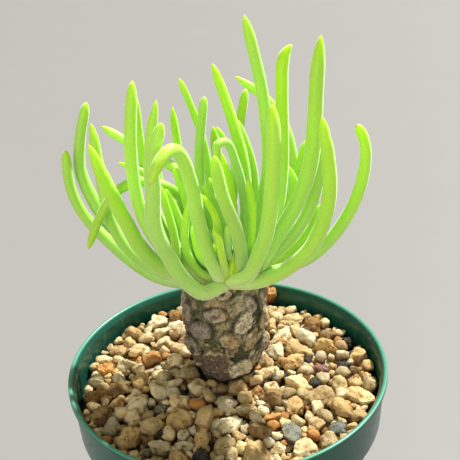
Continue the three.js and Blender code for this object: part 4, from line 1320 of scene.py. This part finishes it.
class SUCCULENT_OT_leaves(bpy.types.Operator):
    """Lays a round fleshy skin over each of the frame's leaves, and adds the shoots"""

    bl_idname = "succulent.leaves"
    bl_label = "Make leaves"

    def execute(self, context):
        material = leaf_material()
        random = np.random.default_rng(LOOK_SEED)
        for k, node in enumerate(sorted(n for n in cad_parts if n.startswith("leaf_"))):
            look = random.uniform(*OTHER_LOOKS)
            name = node.removeprefix("leaf_")
            group, number = name.split("_")
            if int(number) <= len(LEAF_LOOKS[group]):
                look = LEAF_LOOKS[group][int(number) - 1]
            line, radius = leaf_line(node)
            dropped, root = LEAF_ROOTS.get(name, (0, ()))
            line = np.concatenate([np.reshape(root, (-1, 3)) * MM, line[dropped:]])
            if name == HOOK_LEAF:
                line = np.concatenate([line[:HOOK_KEEPS], np.array(HOOK) * MM])
            ends = (LEAF_ENDS.get(name, EVEN_END), NICKS.get(name))
            seed = LEAF_SEED + SEEDS_EACH * k
            self.make_leaf(node + "_flesh", line, radius, look, ends, seed, material, node)
        for k, (radius, lime, line) in enumerate(SHOOTS):
            name = f"crown_shoot_{k + 1}"
            look = (SHOOT_CLOSE, lime, 0, SHOOT_LIGHT)
            line = np.array(line) * MM
            seed = SHOOT_SEED + SEEDS_EACH * k
            self.make_leaf(name, line, radius * MM, look, (EVEN_END, None), seed, material)
        return {"FINISHED"}

    def make_leaf(self, name, line, radius, look, ends, seed, material, node=None):
        """One leaf's skin and colours. The ends are its width there and its nick."""
        settings = bpy.context.scene.succulent.leaf
        close, *tones = look
        points, faces, part = leaf_surface(line, radius, settings, close, *ends, seed)
        colour = leaf_colours(points, part, *tones, settings, seed + 2)
        new_piece(name, points, faces, material, "leaf", node, leaf_colour=colour)


# Stage


class StageSettings(bpy.types.PropertyGroup):
    floor: colour_setting("Floor", "Colour of the floor", 140, 138, 134)
    key: FloatProperty(
        name="Key light", description="Strength of the light above, behind and to the right",
        default=6.6, min=0,
    )
    key_from: FloatVectorProperty(
        name="Key from", description="Direction that the key light comes from",
        default=(0.5, 0.54, 1.0), subtype="DIRECTION",
    )
    key_angle: angle_setting("Key angle", "How wide the key light looks from the plant", 2.5)
    fill: FloatProperty(
        name="Fill light", description="Power of the light in front", default=4.5, min=0, unit="POWER"
    )
    room: FloatProperty(
        name="Room light", description="Strength of the light from all round", default=0.42, min=0
    )
    camera_place: FloatVectorProperty(
        name="Camera", description="Place of the camera", default=(0, -0.2305, 0.2566),
        subtype="TRANSLATION", unit="LENGTH",
    )
    pan: angle_setting("Pan", "To the right of straight ahead", 0.81)
    tilt: angle_setting("Tilt", "Down from level", 27.4)
    roll: angle_setting("Roll", "About the line of sight", -3.13)
    lens: FloatProperty(
        name="Lens", description="Focal length, in millimetres of a 36 mm wide picture",
        default=66.52, min=1,
    )


FILL_SIZE = 0.7
FILL_PLACE = (-0.35, -1.0, 0.36)
FILL_AIM = (0, 0, 0.11)
ROOM_COLOUR = (1, 0.95, 0.87, 1)
FLOOR_REACH = 30.0


def new_light(name, kind, power, place, aim=(0, 0, 0), **size):
    """A soft light at a place, facing its aim: a square area of a size, or a sun as wide as
    an angle."""
    lamp = bpy.data.lights.new(name, kind)
    lamp.energy = power
    for key, value in size.items():
        setattr(lamp, key, value)
    light = bpy.data.objects.new(name, lamp)
    light.location = place
    light.rotation_euler = (Vector(aim) - Vector(place)).to_track_quat("-Z", "Y").to_euler()
    bpy.context.scene.collection.objects.link(light)


class SUCCULENT_OT_stage(bpy.types.Operator):
    """Adds the floor, the soft lights and the camera"""

    bl_idname = "succulent.stage"
    bl_label = "Make stage"

    def execute(self, context):
        settings = context.scene.succulent.stage
        self.make_floor(settings)
        new_light("key", "SUN", settings.key, settings.key_from, angle=settings.key_angle)
        new_light("fill", "AREA", settings.fill, FILL_PLACE, FILL_AIM, size=FILL_SIZE)
        world = bpy.data.worlds.new("room")
        world.use_nodes = True
        background = world.node_tree.nodes["Background"]
        background.inputs["Color"].default_value = ROOM_COLOUR
        background.inputs["Strength"].default_value = settings.room
        context.scene.world = world
        context.scene.view_settings.view_transform = "Standard"
        camera = bpy.data.cameras.new("camera")
        camera.lens = settings.lens
        camera.sensor_width = 36
        camera.clip_start = 0.01
        viewer = bpy.data.objects.new("camera", camera)
        turn = Matrix.Rotation(-settings.pan, 4, "Z")
        turn @= Matrix.Rotation(np.pi / 2 - settings.tilt, 4, "X")
        turn @= Matrix.Rotation(settings.roll, 4, "Z")
        viewer.matrix_world = Matrix.Translation(settings.camera_place) @ turn
        context.scene.collection.objects.link(viewer)
        context.scene.camera = viewer
        return {"FINISHED"}

    def make_floor(self, settings):
        """A plain square floor, faintly uneven in tone."""
        material, tree, place = new_material("pale_floor", 0.6, 0.3)
        grain = cloud(tree, place, 40 * MM, 2)
        darker = [c * 0.97 for c in settings.floor]
        finish_material(material, mixed(tree, grain, settings.floor, darker))
        mesh = bpy.data.meshes.new("floor")
        corners = np.array([[-1, -1, 0], [1, -1, 0], [1, 1, 0], [-1, 1, 0]]) * FLOOR_REACH
        mesh.from_pydata(corners, [], [[0, 1, 2, 3]])
        mesh.materials.append(material)
        floor = bpy.data.objects.new("floor", mesh)
        bpy.context.scene.collection.objects.link(floor)


# Add-on


class SucculentSettings(bpy.types.PropertyGroup):
    pot: PointerProperty(type=PotSettings)
    gravel: PointerProperty(type=GravelSettings)
    caudex: PointerProperty(type=CaudexSettings)
    leaf: PointerProperty(type=LeafSettings)
    stage: PointerProperty(type=StageSettings)


class SUCCULENT_PT_panel(bpy.types.Panel):
    """The succulent's sizes and colours, and a button for each group of pieces"""

    bl_idname = "SUCCULENT_PT_panel"
    bl_label = "Succulent"
    bl_space_type = "VIEW_3D"
    bl_region_type = "UI"
    bl_category = "Succulent"

    def draw(self, context):
        for name, operator in OPERATORS.items():
            box = self.layout.box()
            box.operator(operator.bl_idname)
            settings = getattr(context.scene.succulent, name)
            for key in settings.__annotations__:
                box.prop(settings, key)


OPERATORS = {
    "stage": SUCCULENT_OT_stage,
    "pot": SUCCULENT_OT_pot,
    "gravel": SUCCULENT_OT_gravel,
    "caudex": SUCCULENT_OT_caudex,
    "leaf": SUCCULENT_OT_leaves,
}
CLASSES = (
    PotSettings,
    GravelSettings,
    CaudexSettings,
    LeafSettings,
    StageSettings,
    SucculentSettings,
    *OPERATORS.values(),
    SUCCULENT_PT_panel,
)


def register():
    for cls in CLASSES:
        bpy.utils.register_class(cls)
    bpy.types.Scene.succulent = PointerProperty(type=SucculentSettings)


def unregister():
    del bpy.types.Scene.succulent
    for cls in reversed(CLASSES):
        bpy.utils.unregister_class(cls)


def main():
    register()
    bpy.ops.succulent.stage()
    bpy.ops.succulent.pot()
    bpy.ops.succulent.gravel()
    bpy.ops.succulent.caudex()
    bpy.ops.succulent.leaves()


if __name__ == "__main__":
    main()
